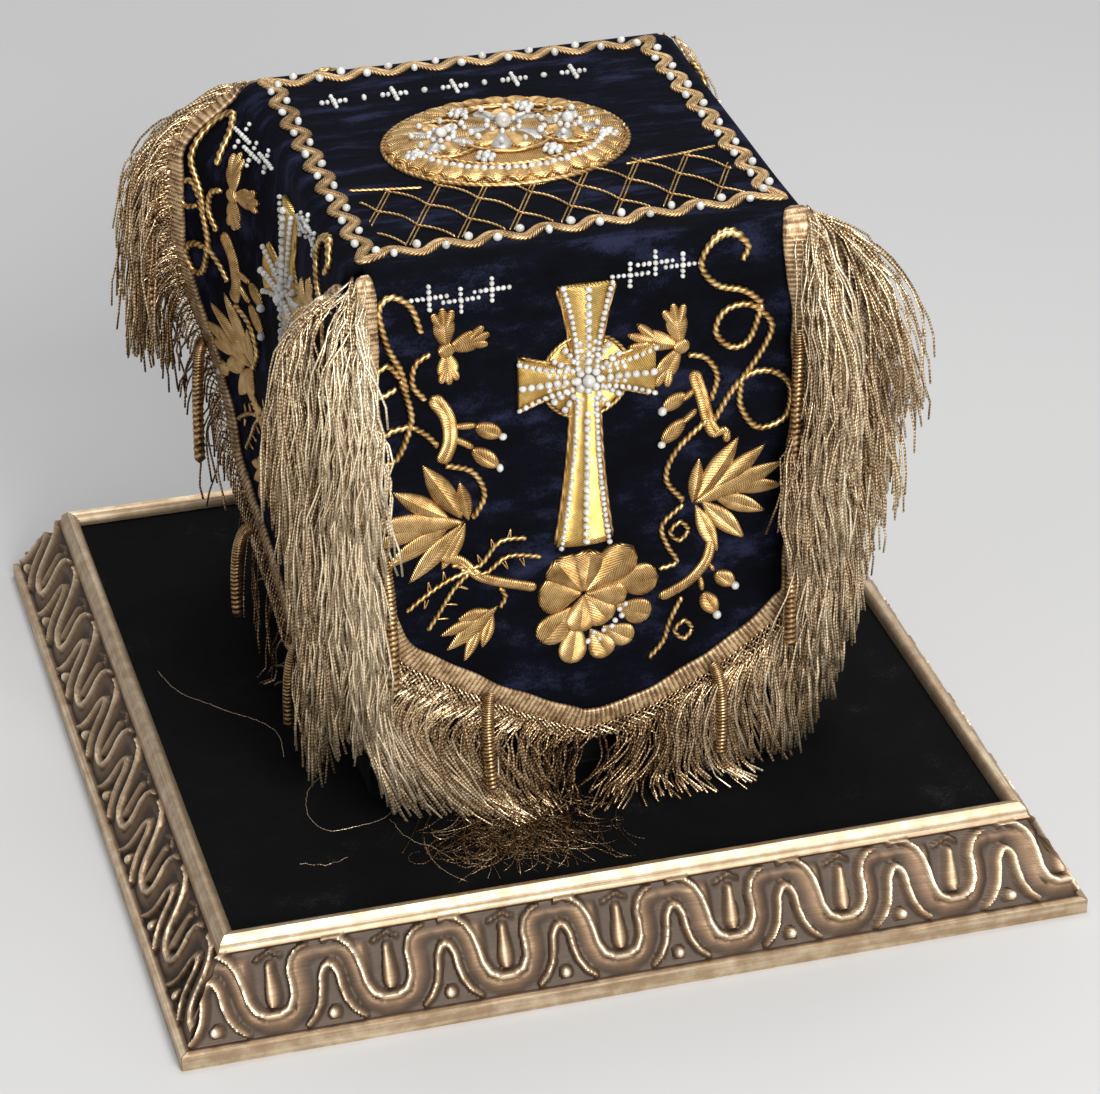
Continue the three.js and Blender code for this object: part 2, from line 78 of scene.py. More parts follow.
ARCH_LINE = [
    (10.2, 2.2), (12.8, 4.6), (14.9, 8.4), (15.8, 12.6), (16.2, 16.8), (17.4, 19.4), (18.9, 20.2),
    (20.4, 19.4), (21.6, 16.8), (22.2, 12.4), (23.4, 8.2), (25.6, 4.6), (28.6, 2.2),
]
ROOF_LINE = [(-4.6, 24.6), (-2.6, 25.4), (0.6, 27.0), (2.0, 25.8), (3.4, 25.2)]
# A ridge: height, half width at the ends, more of it half way, curve, breadth.
RIBBON_RIDGE = (2.7, 0.65, 0.85, 0.7, 1.2)
ARCH_RIDGE = (2.5, 0.8, 0.6, 0.5, 1.25)
FOLD_HEIGHT, FOLD_MIDDLE, FOLD_HALF, FOLD_TOP = 1.45, 1.4, 4.9, 27.5
BAY_HALF, BAY_FOOT, BAY_SOFT = 5.0, 8.0, 3.0
ROOF_HEIGHT, ROOF_WIDTH = 1.5, 0.65
DART_HEIGHT, DART_HALF, DART_FOOT, DART_NECK, DART_TOP = 2.1, 2.8, 8.9, 13.0, 24.6
PELLET_HEIGHT, PELLET_RADIUS, PELLET_UP = 3.0, 2.2, 4.6
SLIT_DEPTH, SLIT_WIDTH, SLIT_FOOT, SLIT_TOP = 0.9, 1.4, 7.0, 18.0
PLAIN_RELIEF = 0.76
RELIEF_DEPTH, RELIEF_RANGE, RELIEF_CURVE = 2.2, 3.6, 1.5
SECTION_ROUND = 0.12
MERGED = 2e-6
RAIL_TURNS = {"front": 0, "right": 90, "back": 180, "left": 270}


def soft_step(x):
    x = np.clip(x, 0.0, 1.0)
    return x * x * (3.0 - 2.0 * x)


def line_distance(line, along, up):
    """Distance from a carved line, in mm, and the share along the line of its nearest place."""
    nearest, share = np.full(along.shape, 1e9), np.zeros(along.shape)
    for number, ((a, b), (c, d)) in enumerate(zip(line, line[1:])):
        length = (c - a) ** 2 + (d - b) ** 2
        part = np.clip(((along - a) * (c - a) + (up - b) * (d - b)) / length, 0, 1)
        distance = np.hypot(along - a - part * (c - a), up - b - part * (d - b))
        share = np.where(distance < nearest, (number + part) / (len(line) - 1), share)
        nearest = np.minimum(distance, nearest)
    return nearest, share


def carved_ridge(line, along, up, height, end_width, more_width, curve, breadth):
    """Height of a rounded ridge, widest half way along its line, and the distance from it, in mm."""
    distance, place = line_distance(line, along, up)
    width = end_width + more_width * np.sin(math.pi * place) ** curve
    round_top = np.cos(math.pi / 2 * np.clip(distance / width / breadth, 0, 1)) ** 0.8
    return height * round_top, distance


def carved_height(along, up):
    """Height of the carving over the slope, all in mm: ribbon, fold, arch, roof, dart and pellet."""
    along = (along + CARVING_REPEAT / 2) % CARVING_REPEAT - CARVING_REPEAT / 2
    height = np.full(along.shape, CARVED_GROUND)
    for shift in (-CARVING_REPEAT, 0.0, CARVING_REPEAT):
        here = along + shift
        from_arch = here - CARVING_REPEAT / 2
        ribbon, from_ribbon = carved_ridge(RIBBON_LINE, here, up, *RIBBON_RIDGE)
        outside = soft_step((np.abs(here) - BAY_HALF) / BAY_SOFT)
        outside = outside + soft_step((BAY_FOOT - up) / BAY_SOFT)
        fold = np.cos(math.pi / 2 * np.clip((from_ribbon - FOLD_MIDDLE) / FOLD_HALF, -1, 1)) ** 1.1
        fold = FOLD_HEIGHT * fold * np.clip(outside, 0, 1) * soft_step((FOLD_TOP - up) / 4.0)
        arch, _ = carved_ridge(ARCH_LINE, here, up, *ARCH_RIDGE)
        from_roof, _ = line_distance(ROOF_LINE, here, up)
        roof = ROOF_HEIGHT * np.exp(-((from_roof / ROOF_WIDTH) ** 2))
        low = np.clip((up - DART_FOOT) / 3.4, 0, 1)
        neck = 1 - 0.4 * soft_step((up - DART_NECK) / 10.0)
        width = DART_HALF * np.sqrt(low * (2 - low)) * neck + 1e-3
        dart = DART_HEIGHT * np.clip(1 - (here / width) ** 2, 0, 1) ** 0.7
        dart = dart * soft_step((DART_TOP - up) / 2.0)
        ball = 1 - (from_arch**2 + (up - PELLET_UP) ** 2) / PELLET_RADIUS**2
        pellet = PELLET_HEIGHT * np.sqrt(np.clip(ball, 0, 1))
        slit = -SLIT_DEPTH * np.exp(-((from_arch / SLIT_WIDTH) ** 2))
        slit = slit * soft_step((up - SLIT_FOOT) / 2.0) * soft_step((SLIT_TOP - up) / 2.0)
        top = np.max([ribbon, fold, arch, roof, dart, pellet], axis=0) + slit
        height = np.maximum(height, CARVED_GROUND + top)
    return height * (soft_step(up / CARVING_MARGIN) * soft_step((CARVING_HEIGHT - up) / CARVING_MARGIN))


def add_patch(bm, columns, rows, place, chart=None, marks=None):
    """A grid moved to place(column, row), in mm; chart gives its UV and marks its vertex attributes."""
    for mark in marks or {}:
        bm.verts.layers.float.get(mark) or bm.verts.layers.float.new(mark)
    if chart is not None:
        bm.loops.layers.uv.verify()
    made = bmesh.ops.create_grid(bm, x_segments=columns, y_segments=rows, size=0.5)["verts"]
    flat = np.array([vert.co[:] for vert in made]) + 0.5
    i = np.rint(flat[:, 0] * columns).astype(int)
    j = np.rint(flat[:, 1] * rows).astype(int)
    for vert, point in zip(made, np.asarray(place(i, j)) * MM):
        vert.co = point
    for mark, values in (marks or {}).items():
        layer = bm.verts.layers.float[mark]
        for vert, value in zip(made, values(i, j)):
            vert[layer] = value
    if chart is not None:
        layer = bm.loops.layers.uv.verify()
        spots = dict(zip(made, np.stack(chart(i, j), 1).tolist()))
        for face in {face for vert in made for face in vert.link_faces}:
            for loop in face.loops:
                loop[layer].uv = spots[loop.vert]
    return made


def close_patches(bm):
    """Merges the seams and points of a bmesh's patches and turns its faces outwards."""
    bmesh.ops.remove_doubles(bm, verts=bm.verts, dist=MERGED)
    bmesh.ops.dissolve_degenerate(bm, edges=bm.edges, dist=1e-7)
    bmesh.ops.recalc_face_normals(bm, faces=bm.faces)


def close_ends(bm):
    """Merges the seam of one long tube, fills its two ends and turns its faces outwards."""
    bmesh.ops.remove_doubles(bm, verts=bm.verts, dist=MERGED)
    bmesh.ops.edgeloop_fill(bm, edges=[edge for edge in bm.edges if edge.is_boundary])
    bmesh.ops.recalc_face_normals(bm, faces=bm.faces)


def set_piece(name, made, finish, nodes=(), sharp=None):
    """A finished bmesh or mesh as a piece of the object, in place of the named nodes."""
    mesh = made
    if isinstance(made, bmesh.types.BMesh):
        mesh = bpy.data.meshes.new(name)
        made.to_mesh(mesh)
        made.free()
    mesh.materials.append(finish)
    mesh.shade_smooth()
    if sharp is not None:
        mesh.set_sharp_from_angle(angle=math.radians(sharp))
    piece = bpy.data.objects.new(name, mesh)
    bpy.context.scene.collection.objects.link(piece)
    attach(piece, "root")
    if nodes:
        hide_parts(*nodes)
    return piece


def start_finish(name, values):
    """A material with its Principled shader's sockets set; values may hold links."""
    finish = bpy.data.materials.new(name)
    finish.use_nodes = True
    set_shader(finish, values)
    return finish


def set_shader(finish, values):
    fill_sockets(finish, finish.node_tree.nodes["Principled BSDF"], values)


def fill_sockets(finish, node, values):
    for socket, value in values.items():
        if isinstance(value, bpy.types.NodeSocket):
            finish.node_tree.links.new(value, node.inputs[socket])
        else:
            node.inputs[socket].default_value = value


def add_node(finish, kind, values=None, **settings):
    node = finish.node_tree.nodes.new(kind)
    for setting, value in settings.items():
        setattr(node, setting, value)
    fill_sockets(finish, node, values or {})
    return node


def add_sum(finish, operation, *values):
    """One Math node, its inputs by number."""
    node = add_node(finish, "ShaderNodeMath", operation=operation)
    fill_sockets(finish, node, dict(enumerate(values)))
    return node.outputs[0]


def add_ramp(finish, share, stops):
    node = add_node(finish, "ShaderNodeValToRGB", {"Fac": share})
    band = node.color_ramp
    while len(band.elements) < len(stops):
        band.elements.new(1.0)
    for element, (place, colour) in zip(band.elements, stops):
        element.position = place
        element.color = (*colour, 1.0)
    return node.outputs["Color"]


def add_noise(finish, place, scale, detail=2.0, rough=0.5):
    values = {"Vector": place, "Scale": scale, "Detail": detail, "Roughness": rough}
    return add_node(finish, "ShaderNodeTexNoise", values).outputs["Fac"]


def add_mapping(finish, place, scale=(1, 1, 1), turn=(0, 0, 0)):
    values = {"Vector": place, "Scale": scale, "Rotation": turn}
    return add_node(finish, "ShaderNodeMapping", values).outputs["Vector"]


def add_bump(finish, height, strength, distance):
    values = {"Height": height, "Strength": strength, "Distance": distance}
    return add_node(finish, "ShaderNodeBump", values).outputs["Normal"]


silver_gilt = start_finish("silver_gilt", {"Metallic": 0.9, "Specular IOR Level": 0.5})
gilt_place = add_node(silver_gilt, "ShaderNodeTexCoord")
# Relief share: hollows of the carving darker and raised parts brighter, partly worn gilt and partly
# painted shade in the hollows.
gilt_wear_and_hollow_shade = add_node(silver_gilt, "ShaderNodeAttribute", attribute_name="relief").outputs["Fac"]
gilt_streak = add_noise(
    silver_gilt, add_mapping(silver_gilt, gilt_place.outputs["UV"], (14, 900, 1)), 1.0, 4.0, 0.6
)
gilt_patina = add_noise(silver_gilt, gilt_place.outputs["Object"], 150.0, 5.0, 0.62)
gilt_share = add_sum(silver_gilt, "MULTIPLY_ADD", gilt_patina, 0.38, gilt_wear_and_hollow_shade)
gilt_share = add_sum(silver_gilt, "MULTIPLY_ADD", gilt_streak, 0.42, gilt_share)
gilt_share = add_sum(silver_gilt, "SUBTRACT", gilt_share, 0.40)
gilt_colour = add_ramp(
    silver_gilt,
    gilt_share,
    [
        (0.12, (0.096, 0.072, 0.056)),
        (0.44, (0.190, 0.120, 0.073)),
        (0.72, (0.43, 0.305, 0.190)),
        (1.0, (0.92, 0.80, 0.60)),
    ],
)
gilt_rough = add_node(
    silver_gilt,
    "ShaderNodeMapRange",
    {"Value": gilt_share, "To Min": 0.68, "To Max": 0.42},
).outputs["Result"]
set_shader(
    silver_gilt,
    {
        "Base Color": gilt_colour,
        "Roughness": gilt_rough,
        "Normal": add_bump(silver_gilt, gilt_streak, 0.25, 0.0003),
    },
)

rail_depth, rail_level, rail_up = [], [], []
for row, (depth, level, steps) in enumerate(RAIL_SECTION):
    next_depth, next_level, _ = RAIL_SECTION[(row + 1) % len(RAIL_SECTION)]
    for step in range(steps):
        share = step / steps
        rail_depth.append(depth + (next_depth - depth) * share)
        rail_level.append(level + (next_level - level) * share)
        rail_up.append(CARVING_HEIGHT * (1 - share) if row == CARVED_ROW else -1.0)
rail_depth, rail_level, rail_up = map(np.array, (rail_depth, rail_level, rail_up))
slope_out = np.array([-SLOPE_RISE, SLOPE_DEPTH]) / CARVING_HEIGHT


def build_rail(turn, phase, columns):
    rows = len(rail_depth)

    def relief(i, j):
        along = (i / columns - 0.5) * 2 * (RAIL_HALF - rail_depth[j % rows])
        up = rail_up[j % rows]
        return np.where(up < 0, 0.0, carved_height(along + phase, up))

    def place(i, j):
        height = relief(i, j)
        depth = rail_depth[j % rows] + slope_out[0] * height
        level = rail_level[j % rows] + slope_out[1] * height
        along = (i / columns - 0.5) * 2 * (RAIL_HALF - depth - RAIL_MITRE_GAP)
        c, s = math.cos(math.radians(turn)), math.sin(math.radians(turn))
        out = RAIL_HALF - depth
        return np.stack([along * c + out * s, along * s - out * c, level], 1)

    def chart(i, j):
        return i / columns * 2 * RAIL_HALF * MM, j / rows * SECTION_ROUND

    # Raised carving brighter and hollows darker: worn gilt in part, painted shade in the hollows in
    # part.
    def mark(i, j):
        raised = np.clip((relief(i, j) + RELIEF_DEPTH) / RELIEF_RANGE, 0, 1) ** RELIEF_CURVE
        return np.where(rail_up[j % rows] < 0, PLAIN_RELIEF, raised)

    bm = bmesh.new()
    add_patch(bm, columns, rows, place, chart, {"relief": mark})
    close_ends(bm)
    return bm


for rail, turn in RAIL_TURNS.items():
    set_piece(
        f"carved_rail_{rail}",
        build_rail(turn, CARVING_PHASE, RAIL_STEPS[rail]),
        silver_gilt,
        [f"base_rail_{rail}"],
        sharp=50,
    )

# ---- Panel and block
# A thin board held in the rails' groove and an upright block that stands on it, both covered in black
# velvet that has picked up a little lint. Their CAD shapes stay and take only this finish.

black_velvet = start_finish(
    "black_velvet",
    {
        "Roughness": 0.9,
        "Specular IOR Level": 0.08,
        "Sheen Weight": 0.03,
        "Sheen Roughness": 0.4,
        "Sheen Tint": (0.45, 0.47, 0.55, 1.0),
    },
)
black_place = add_node(black_velvet, "ShaderNodeTexCoord").outputs["Object"]
black_crush = add_noise(black_velvet, black_place, 38.0, 5.0, 0.65)
black_lint = add_noise(black_velvet, black_place, 1500.0, 2.0, 0.7)
black_share = add_sum(black_velvet, "MULTIPLY_ADD", black_lint, 0.55, black_crush)
black_colour = add_ramp(
    black_velvet,
    black_share,
    [
        (0.60, (0.0009, 0.0009, 0.0010)),
        (0.92, (0.0022, 0.0022, 0.0024)),
        (1.0, (0.0108, 0.0104, 0.0101)),
    ],
)
set_shader(
    black_velvet,
    {"Base Color": black_colour, "Normal": add_bump(black_velvet, black_lint, 0.3, 0.0004)},
)
for covered in ("base_panel", "display_block"):
    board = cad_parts[covered].data
    board.materials.clear()
    board.materials.append(black_velvet)

# ---- Veil cloth
# One cross-shaped piece of dark blue velvet: a square top and four flaps with pointed ends. It is laid
# over the block so that the flaps hang down its sides, and is fixed by nothing else.

ARM_HALF = 69.0
FOLD_RADIUS = 3.8
FOLD_ARC = FOLD_RADIUS * math.pi / 2
CLOTH_THICKNESS = 1.6
TOP_LEVEL = 226.8
TIP_LEVEL = 58.0
SHOULDER_WIDTH = 17.0
# A cut edge: its rise from the tip to the side, its curve, the rounding of the shoulder.
SQUARE_EDGE = (42.0, 1.15, 16.0)
LOW_EDGE = (36.0, 1.8, 0.0)
FLAPS = {  # turn, belly, flare at the first and the last edge, kick of the tip, shape of the last edge
    "front": (0, 1.5, 3.0, 2.0, 3.0, LOW_EDGE),
    "right": (90, 4.0, 4.0, 6.0, 3.0, SQUARE_EDGE),
    "back": (180, 3.0, 6.0, 5.0, 3.0, SQUARE_EDGE),
    "left": (270, 3.0, 22.0, 4.0, 4.0, SQUARE_EDGE),
}
FLARE_FULL, FLARE_FADES, FLARE_FADED, FLARE_LOSS = 26.0, 45.0, 80.0, 0.7
BELLY_DROP = 170.0
KICK_STARTS, KICK_LENGTH = 90.0, 85.0
CREASE_STARTS = 14.0
TOP_MARGIN = 10.0
FLAP_CREASES = [  # across, drop, slant in degrees, half length, half width, height
    (-46, 92, 12, 30, 9, 0.7),
    (-14, 118, -8, 26, 10, -0.6),
    (18, 20, 84, 40, 7, 0.5),
    (44, 118, -30, 28, 8, 0.7),
    (-30, 24, 96, 34, 6, -0.5),
    (58, 60, 8, 34, 7, -0.5),
    (2, 140, 88, 26, 9, 0.6),
]
TOP_CREASES = [  # across, back, slant in degrees, half length, half width, height
    (-30, -40, 4, 46, 4, 0.3),
    (22, -34, -6, 40, 5, 0.3),
    (-44, 26, 60, 30, 5, 0.25),
    (46, 30, 100, 34, 5, 0.3),
    (8, 52, 3, 52, 4, 0.25),
    (50, -6, 80, 26, 4, -0.25),
]


def lie_creases(creases, a, b):
    """Soft troughs and ridges at listed places, in mm."""
    height = np.zeros(np.broadcast(a, b).shape)
    for across, down, slant, half_length, half_width, rise in creases:
        c, s = math.cos(math.radians(slant)), math.sin(math.radians(slant))
        along = ((a - across) * c + (b - down) * s) / half_length
        aside = (-(a - across) * s + (b - down) * c) / half_width
        height = height + rise * np.exp(-(along**2) - aside**2)
    return height


def edge_drop(flap, t):
    """How far down a flap its cut edge is, in mm, at t across it."""
    share = np.minimum(np.abs(t) / ARM_HALF, 1.0)
    shoulder = soft_step((np.abs(t) - (ARM_HALF - SHOULDER_WIDTH)) / SHOULDER_WIDTH)
    climbs = [
        rise * share**curve + rounding * shoulder**2
        for rise, curve, rounding in (SQUARE_EDGE, FLAPS[flap][5])
    ]
    level = TIP_LEVEL + np.where(np.asarray(t) > 0, climbs[1], climbs[0])
    return FOLD_ARC + TOP_LEVEL - FOLD_RADIUS - level


def hang_middle(flap, t, drop):
    """The middle of the cloth's thickness on the front flap, in mm, before the flap's own turn."""
    _, belly, first_flare, last_flare, kick, _ = FLAPS[flap]
    share = t / ARM_HALF
    fading = 1 - FLARE_LOSS * soft_step((drop - FLARE_FADES) / FLARE_FADED)
    flare_down = soft_step(drop / FLARE_FULL) * fading
    swell = np.where(t < 0, first_flare, last_flare) * share**2 * flare_down
    swell = swell + belly * np.sin(math.pi * np.clip(drop / BELLY_DROP, 0, 1))
    swell = swell + kick * soft_step((drop - KICK_STARTS) / KICK_LENGTH)
    swell = swell + lie_creases(FLAP_CREASES, t, drop) * soft_step(drop / CREASE_STARTS)
    bend = np.clip(drop / FOLD_RADIUS, 0, math.pi / 2)
    out = ARM_HALF + np.minimum(drop, 0) + FOLD_RADIUS * np.sin(bend) + swell
    level = TOP_LEVEL - FOLD_RADIUS + FOLD_RADIUS * np.cos(bend) - np.maximum(drop - FOLD_ARC, 0)
    return np.stack(np.broadcast_arrays(t, -out, level), -1)


def turn_flap(flap, points):
    angle = math.radians(FLAPS[flap][0])
    c, s = math.cos(angle), math.sin(angle)
    x, y, z = points[..., 0], points[..., 1], points[..., 2]
    return np.stack([x * c - y * s, x * s + y * c, z], -1)


def hang(flap, t, drop, lift):
    """Points on a flap, in mm: t across it, drop down it from the fold, lift off the cloth's middle."""
    t, drop, lift = np.broadcast_arrays(*(np.asarray(value, float) for value in (t, drop, lift)))
    across = hang_middle(flap, t + 0.5, drop) - hang_middle(flap, t - 0.5, drop)
    down = hang_middle(flap, t, drop + 0.5) - hang_middle(flap, t, drop - 0.5)
    outward = np.cross(down, across)
    outward /= np.linalg.norm(outward, axis=-1, keepdims=True)
    return turn_flap(flap, hang_middle(flap, t, drop) + outward * lift[..., None])


def lie_on_top(x, y, lift):
    """Points on the veil's square top, in mm, lift off the cloth's middle."""
    x, y, lift = np.broadcast_arrays(*(np.asarray(value, float) for value in (x, y, lift)))
    inside = soft_step((ARM_HALF - np.maximum(np.abs(x), np.abs(y))) / TOP_MARGIN)
    level = TOP_LEVEL + lie_creases(TOP_CREASES, x, y) * inside + lift
    return np.stack([x, y, level], -1)


navy_velvet = start_finish(
    "navy_velvet",
    {
        "Roughness": 0.82,
        "Specular IOR Level": 0.05,
        "Sheen Weight": 0.05,
        "Sheen Roughness": 0.30,
        "Sheen Tint": (0.24, 0.28, 0.75, 1.0),
    },
)
navy_place = add_node(navy_velvet, "ShaderNodeTexCoord").outputs["Object"]
# Crushed pile: its lighter streaks are painted sheen in the base colour, and it also drives the bump.
navy_crush_sheen = add_noise(navy_velvet, add_mapping(navy_velvet, navy_place, (0.8, 3.0, 1.5)), 44, 4, 0.62)
navy_pile = add_noise(navy_velvet, navy_place, 1400.0, 2.0, 0.6)
navy_share = add_sum(navy_velvet, "MULTIPLY_ADD", navy_pile, 0.22, navy_crush_sheen)
# The brightest stop gives the lighter streaks of painted sheen.
navy_colour = add_ramp(
    navy_velvet,
    navy_share,
    [
        (0.52, (0.0011, 0.0012, 0.0022)),
        (0.65, (0.0019, 0.0023, 0.0052)),
        (0.80, (0.0125, 0.0145, 0.0340)),
    ],
)
navy_height = add_sum(navy_velvet, "MULTIPLY_ADD", navy_pile, 0.2, navy_crush_sheen)
set_shader(
    navy_velvet,
    {"Base Color": navy_colour, "Normal": add_bump(navy_velvet, navy_height, 0.45, 0.0015)},
)

VEIL_ACROSS = 46
VEIL_DOWN = 56
bm = bmesh.new()
add_patch(
    bm,
    VEIL_ACROSS,
    VEIL_ACROSS,
    lambda i, j: lie_on_top(
        (i / VEIL_ACROSS * 2 - 1) * ARM_HALF, (j / VEIL_ACROSS * 2 - 1) * ARM_HALF, 0.0
    ),
)
for flap in FLAPS:
    def flap_place(i, j):
        t = (i / VEIL_ACROSS * 2 - 1) * ARM_HALF
        return hang(flap, t, j / VEIL_DOWN * edge_drop(flap, t), 0.0)

    add_patch(bm, VEIL_ACROSS, VEIL_DOWN, flap_place)
close_patches(bm)
top_face = max(bm.faces, key=lambda face: face.calc_center_median().z)
if top_face.normal.z < 0:
    bmesh.ops.reverse_faces(bm, faces=bm.faces)
veil = set_piece("velvet_veil", bm, navy_velvet, ["veil_cloth"])
thickness = veil.modifiers.new("thickness", "SOLIDIFY")
thickness.thickness = CLOTH_THICKNESS * MM
thickness.offset = 0.0

# ---- Fringe headings
# The fringe's woven top band, ribs of metal thread over a warp. One length is sewn round each flap's
# cut edge, a little in from it and standing out past it, and ends in a rounded turn at the top.

BAND_INSET = 1.9
BAND_OUTSET = 4.6
BAND_WIDTH = BAND_INSET + BAND_OUTSET
BAND_WIDENING = 4.2
WIDEST_RUN = 11.0
WIDE_RUN = 15.0
ROUNDED_RUN = 6.0
ROUNDED_WIDTH = 0.4
BAND_LIFT = 1.1
BAND_THICKNESS = 1.4
BAND_STARTS = {  # how far down the flap's first and last side the band begins and ends
    "front": (3.4, -0.5),
    "right": (2.5, 5.2),
    "back": (5.2, 5.2),
    "left": (5.2, 8.0),
}
SWELL_RUN = 14.0
END_SWELL = {"front": (2.0, 2.5), "right": (5.0, 2.0), "back": (2.0, 2.0), "left": (2.0, 9.0)}
SIDE_POINTS = 200
TURN_RUN = 12.0
RIB_PITCH = 1.6
RIB_COLUMNS = 3
RIB_HEIGHT = 0.22
RIB_SLANT = 0.25


def flap_edge(flap, step):
    """A flap's cut edge from its first top corner to its last, every step mm, and the way out of it."""
    below = np.linspace(-ARM_HALF, ARM_HALF, 2 * SIDE_POINTS)[1:-1]
    t = np.concatenate([np.full(SIDE_POINTS, -ARM_HALF), below, np.full(SIDE_POINTS, ARM_HALF)])
    first_start, last_start = BAND_STARTS[flap]
    first = np.linspace(first_start, edge_drop(flap, -ARM_HALF), SIDE_POINTS)
    last = np.linspace(edge_drop(flap, ARM_HALF), last_start, SIDE_POINTS)
    drop = np.concatenate([first, edge_drop(flap, below), last])
    run = np.concatenate([[0], np.cumsum(np.hypot(np.diff(t), np.diff(drop)))])
    places = np.linspace(0, run[-1], int(run[-1] / step) + 1)
    t, drop = np.interp(places, run, t), np.interp(places, run, drop)
    way = np.stack([-np.gradient(drop), np.gradient(t)], 1)
    window = np.hanning(int(TURN_RUN / step) | 1)
    ends = len(window) // 2
    padded = np.pad(way, ((ends, ends), (0, 0)), mode="edge")
    way = np.stack([np.convolve(padded[:, k], window, "valid") for k in (0, 1)], 1)
    way /= np.linalg.norm(way, axis=1, keepdims=True)
    return places, np.stack([t, drop], 1), way


def end_swell(flap, run):
    """How far a heading stands off the cloth just below the two top corners, in mm."""
    first, last = END_SWELL[flap]
    from_first, from_last = run / SWELL_RUN, (edge_length(flap) - run) / SWELL_RUN
    return first * from_first * np.exp(1 - from_first) + last * from_last * np.exp(1 - from_last)


def edge_length(flap):
    return EDGES[flap][0][-1]


EDGES = {flap: flap_edge(flap, RIB_PITCH / RIB_COLUMNS) for flap in FLAPS}
woven_heading = start_finish("woven_heading", {"Metallic": 0.55, "Specular IOR Level": 0.4})
heading_place = add_node(woven_heading, "ShaderNodeTexCoord")
# Painted shade: darker in the grooves between the ribs, lighter on their crests.
heading_rib_shade = add_node(woven_heading, "ShaderNodeAttribute", attribute_name="rib").outputs["Fac"]
heading_wear = add_noise(woven_heading, heading_place.outputs["Object"], 260.0, 4.0, 0.65)
heading_thread = add_noise(
    woven_heading, add_mapping(woven_heading, heading_place.outputs["UV"], (600, 2600, 1)), 1.0, 2.0
)
heading_share = add_sum(woven_heading, "MULTIPLY_ADD", heading_rib_shade, 0.42, heading_wear)
heading_share = add_sum(woven_heading, "MULTIPLY_ADD", heading_thread, 0.4, heading_share)
heading_colour = add_ramp(
    woven_heading,
    heading_share,
    [
        (0.5, (0.042, 0.021, 0.009)),
        (0.74, (0.165, 0.094, 0.043)),
        (0.95, (0.35, 0.225, 0.115)),
        (1.0, (0.56, 0.40, 0.23)),
    ],
)
set_shader(
    woven_heading,
    {
        "Base Color": heading_colour,
        "Roughness": 0.46,
        "Normal": add_bump(woven_heading, heading_thread, 0.5, 0.0003),
    },
)

BAND_RING = [  # across from the inner side to the outer, lift, share of the rib's height
    (0.0, 0.0, 0.0),
    (0.0, 0.8, 0.0),
    (0.12, 1.0, 0.6),
    (0.4, 1.0, 1.0),
    (0.7, 1.0, 1.0),
    (0.92, 0.95, 0.8),
    (1.0, 0.6, 0.0),
    (1.0, 0.0, 0.0),
]
band_ring = np.array(BAND_RING)
band_rows = len(band_ring)


def rib_wave(i, across):
    return np.cos(2 * math.pi * (i / RIB_COLUMNS + RIB_SLANT * across))


for number, flap in enumerate(FLAPS):
    edge_run, edge_spots, edge_ways = EDGES[flap]

    def band_place(i, j):
        across, raised, ribbed = band_ring[j % band_rows].T
        run, to_end = edge_run[i], edge_run[-1] - edge_run[i]
        inset = BAND_INSET + BAND_WIDENING * np.exp(-(((to_end - WIDEST_RUN) / WIDE_RUN) ** 2))
        inset = inset + 0.35 * np.sin(run / 7.3 + number) + 0.25 * np.sin(run / 3.1)
        short = 1 - np.minimum(np.minimum(run, to_end) / ROUNDED_RUN, 1)
        rounded = ROUNDED_WIDTH + (1 - ROUNDED_WIDTH) * np.sqrt(1 - short**2)
        out = (across * (inset + BAND_OUTSET) - inset) * rounded
        spot = edge_spots[i] + edge_ways[i] * out[:, None]
        lift = BAND_LIFT + raised * BAND_THICKNESS + ribbed * rib_wave(i, across) * RIB_HEIGHT
        lift = lift + end_swell(flap, run) * (0.3 + 0.7 * across)
        return hang(flap, spot[:, 0], spot[:, 1], lift)

    def band_chart(i, j):
        return edge_run[i] * MM, band_ring[j % band_rows][:, 0] * BAND_WIDTH * MM

    # Rib wave for the colour: painted shade in the grooves between the ribs.
    def band_mark(i, j):
        return rib_wave(i, band_ring[j % band_rows][:, 0]) * 0.5 + 0.5

    bm = bmesh.new()
    add_patch(bm, len(edge_run) - 1, band_rows, band_place, band_chart, {"rib": band_mark})
    close_ends(bm)
    set_piece(f"fringe_heading_{flap}", bm, woven_heading, [f"fringe_{flap}"])

# ---- Fringe strands
# Fine twisted metal threads, hung close together from each heading through a row of crossed loops.
# They fan out from the flap's sides and gather in loose locks; the lowest rest on the panel, tarnished.

STRANDS_PER_MM = {"front": 3.9, "right": 3.3, "back": 3.0, "left": 3.6}
STRAND_RADIUS = 0.42
STRAND_SIDES = 3
STRAND_POINTS = 9
STRAND_START = (0.02, 0.25)  # share of the length above the first point, on the sides and at the bottom
STRAND_OUTSET = (1.0, 4.2)
STRAND_LENGTH = (49.0, 59.0)
STRAND_SPREAD = (0.45, 1.06)
STRAND_LIFT = (1.3, 2.4)
SHORTEST_FALL = 10.0
SIDE_FANS = {  # degrees from straight out of the flap, at its first and its last side
    "front": ((1.0, 62.0), (-22.0, 46.0)),
    "right": ((-6.0, 54.0), (-10.0, 40.0)),
    "back": ((-10.0, 40.0), (-10.0, 50.0)),
    "left": ((-14.0, 46.0), (-6.0, 70.0)),
}
SIDE_REACH = {"front": (22.0, 24.0), "right": (30.0, 13.0), "back": (13.0, 20.0), "left": (21.0, 14.0)}
LOW_REACH = 12.0
REACH_DROPS, REACH_DROPPED = 9.0, 100.0
SIDE_WAY, SIDE_WAY_SOFT = 0.62, 0.3
SIDE_STRANDS = 60.0
OUTWARD_DROP = 42.0
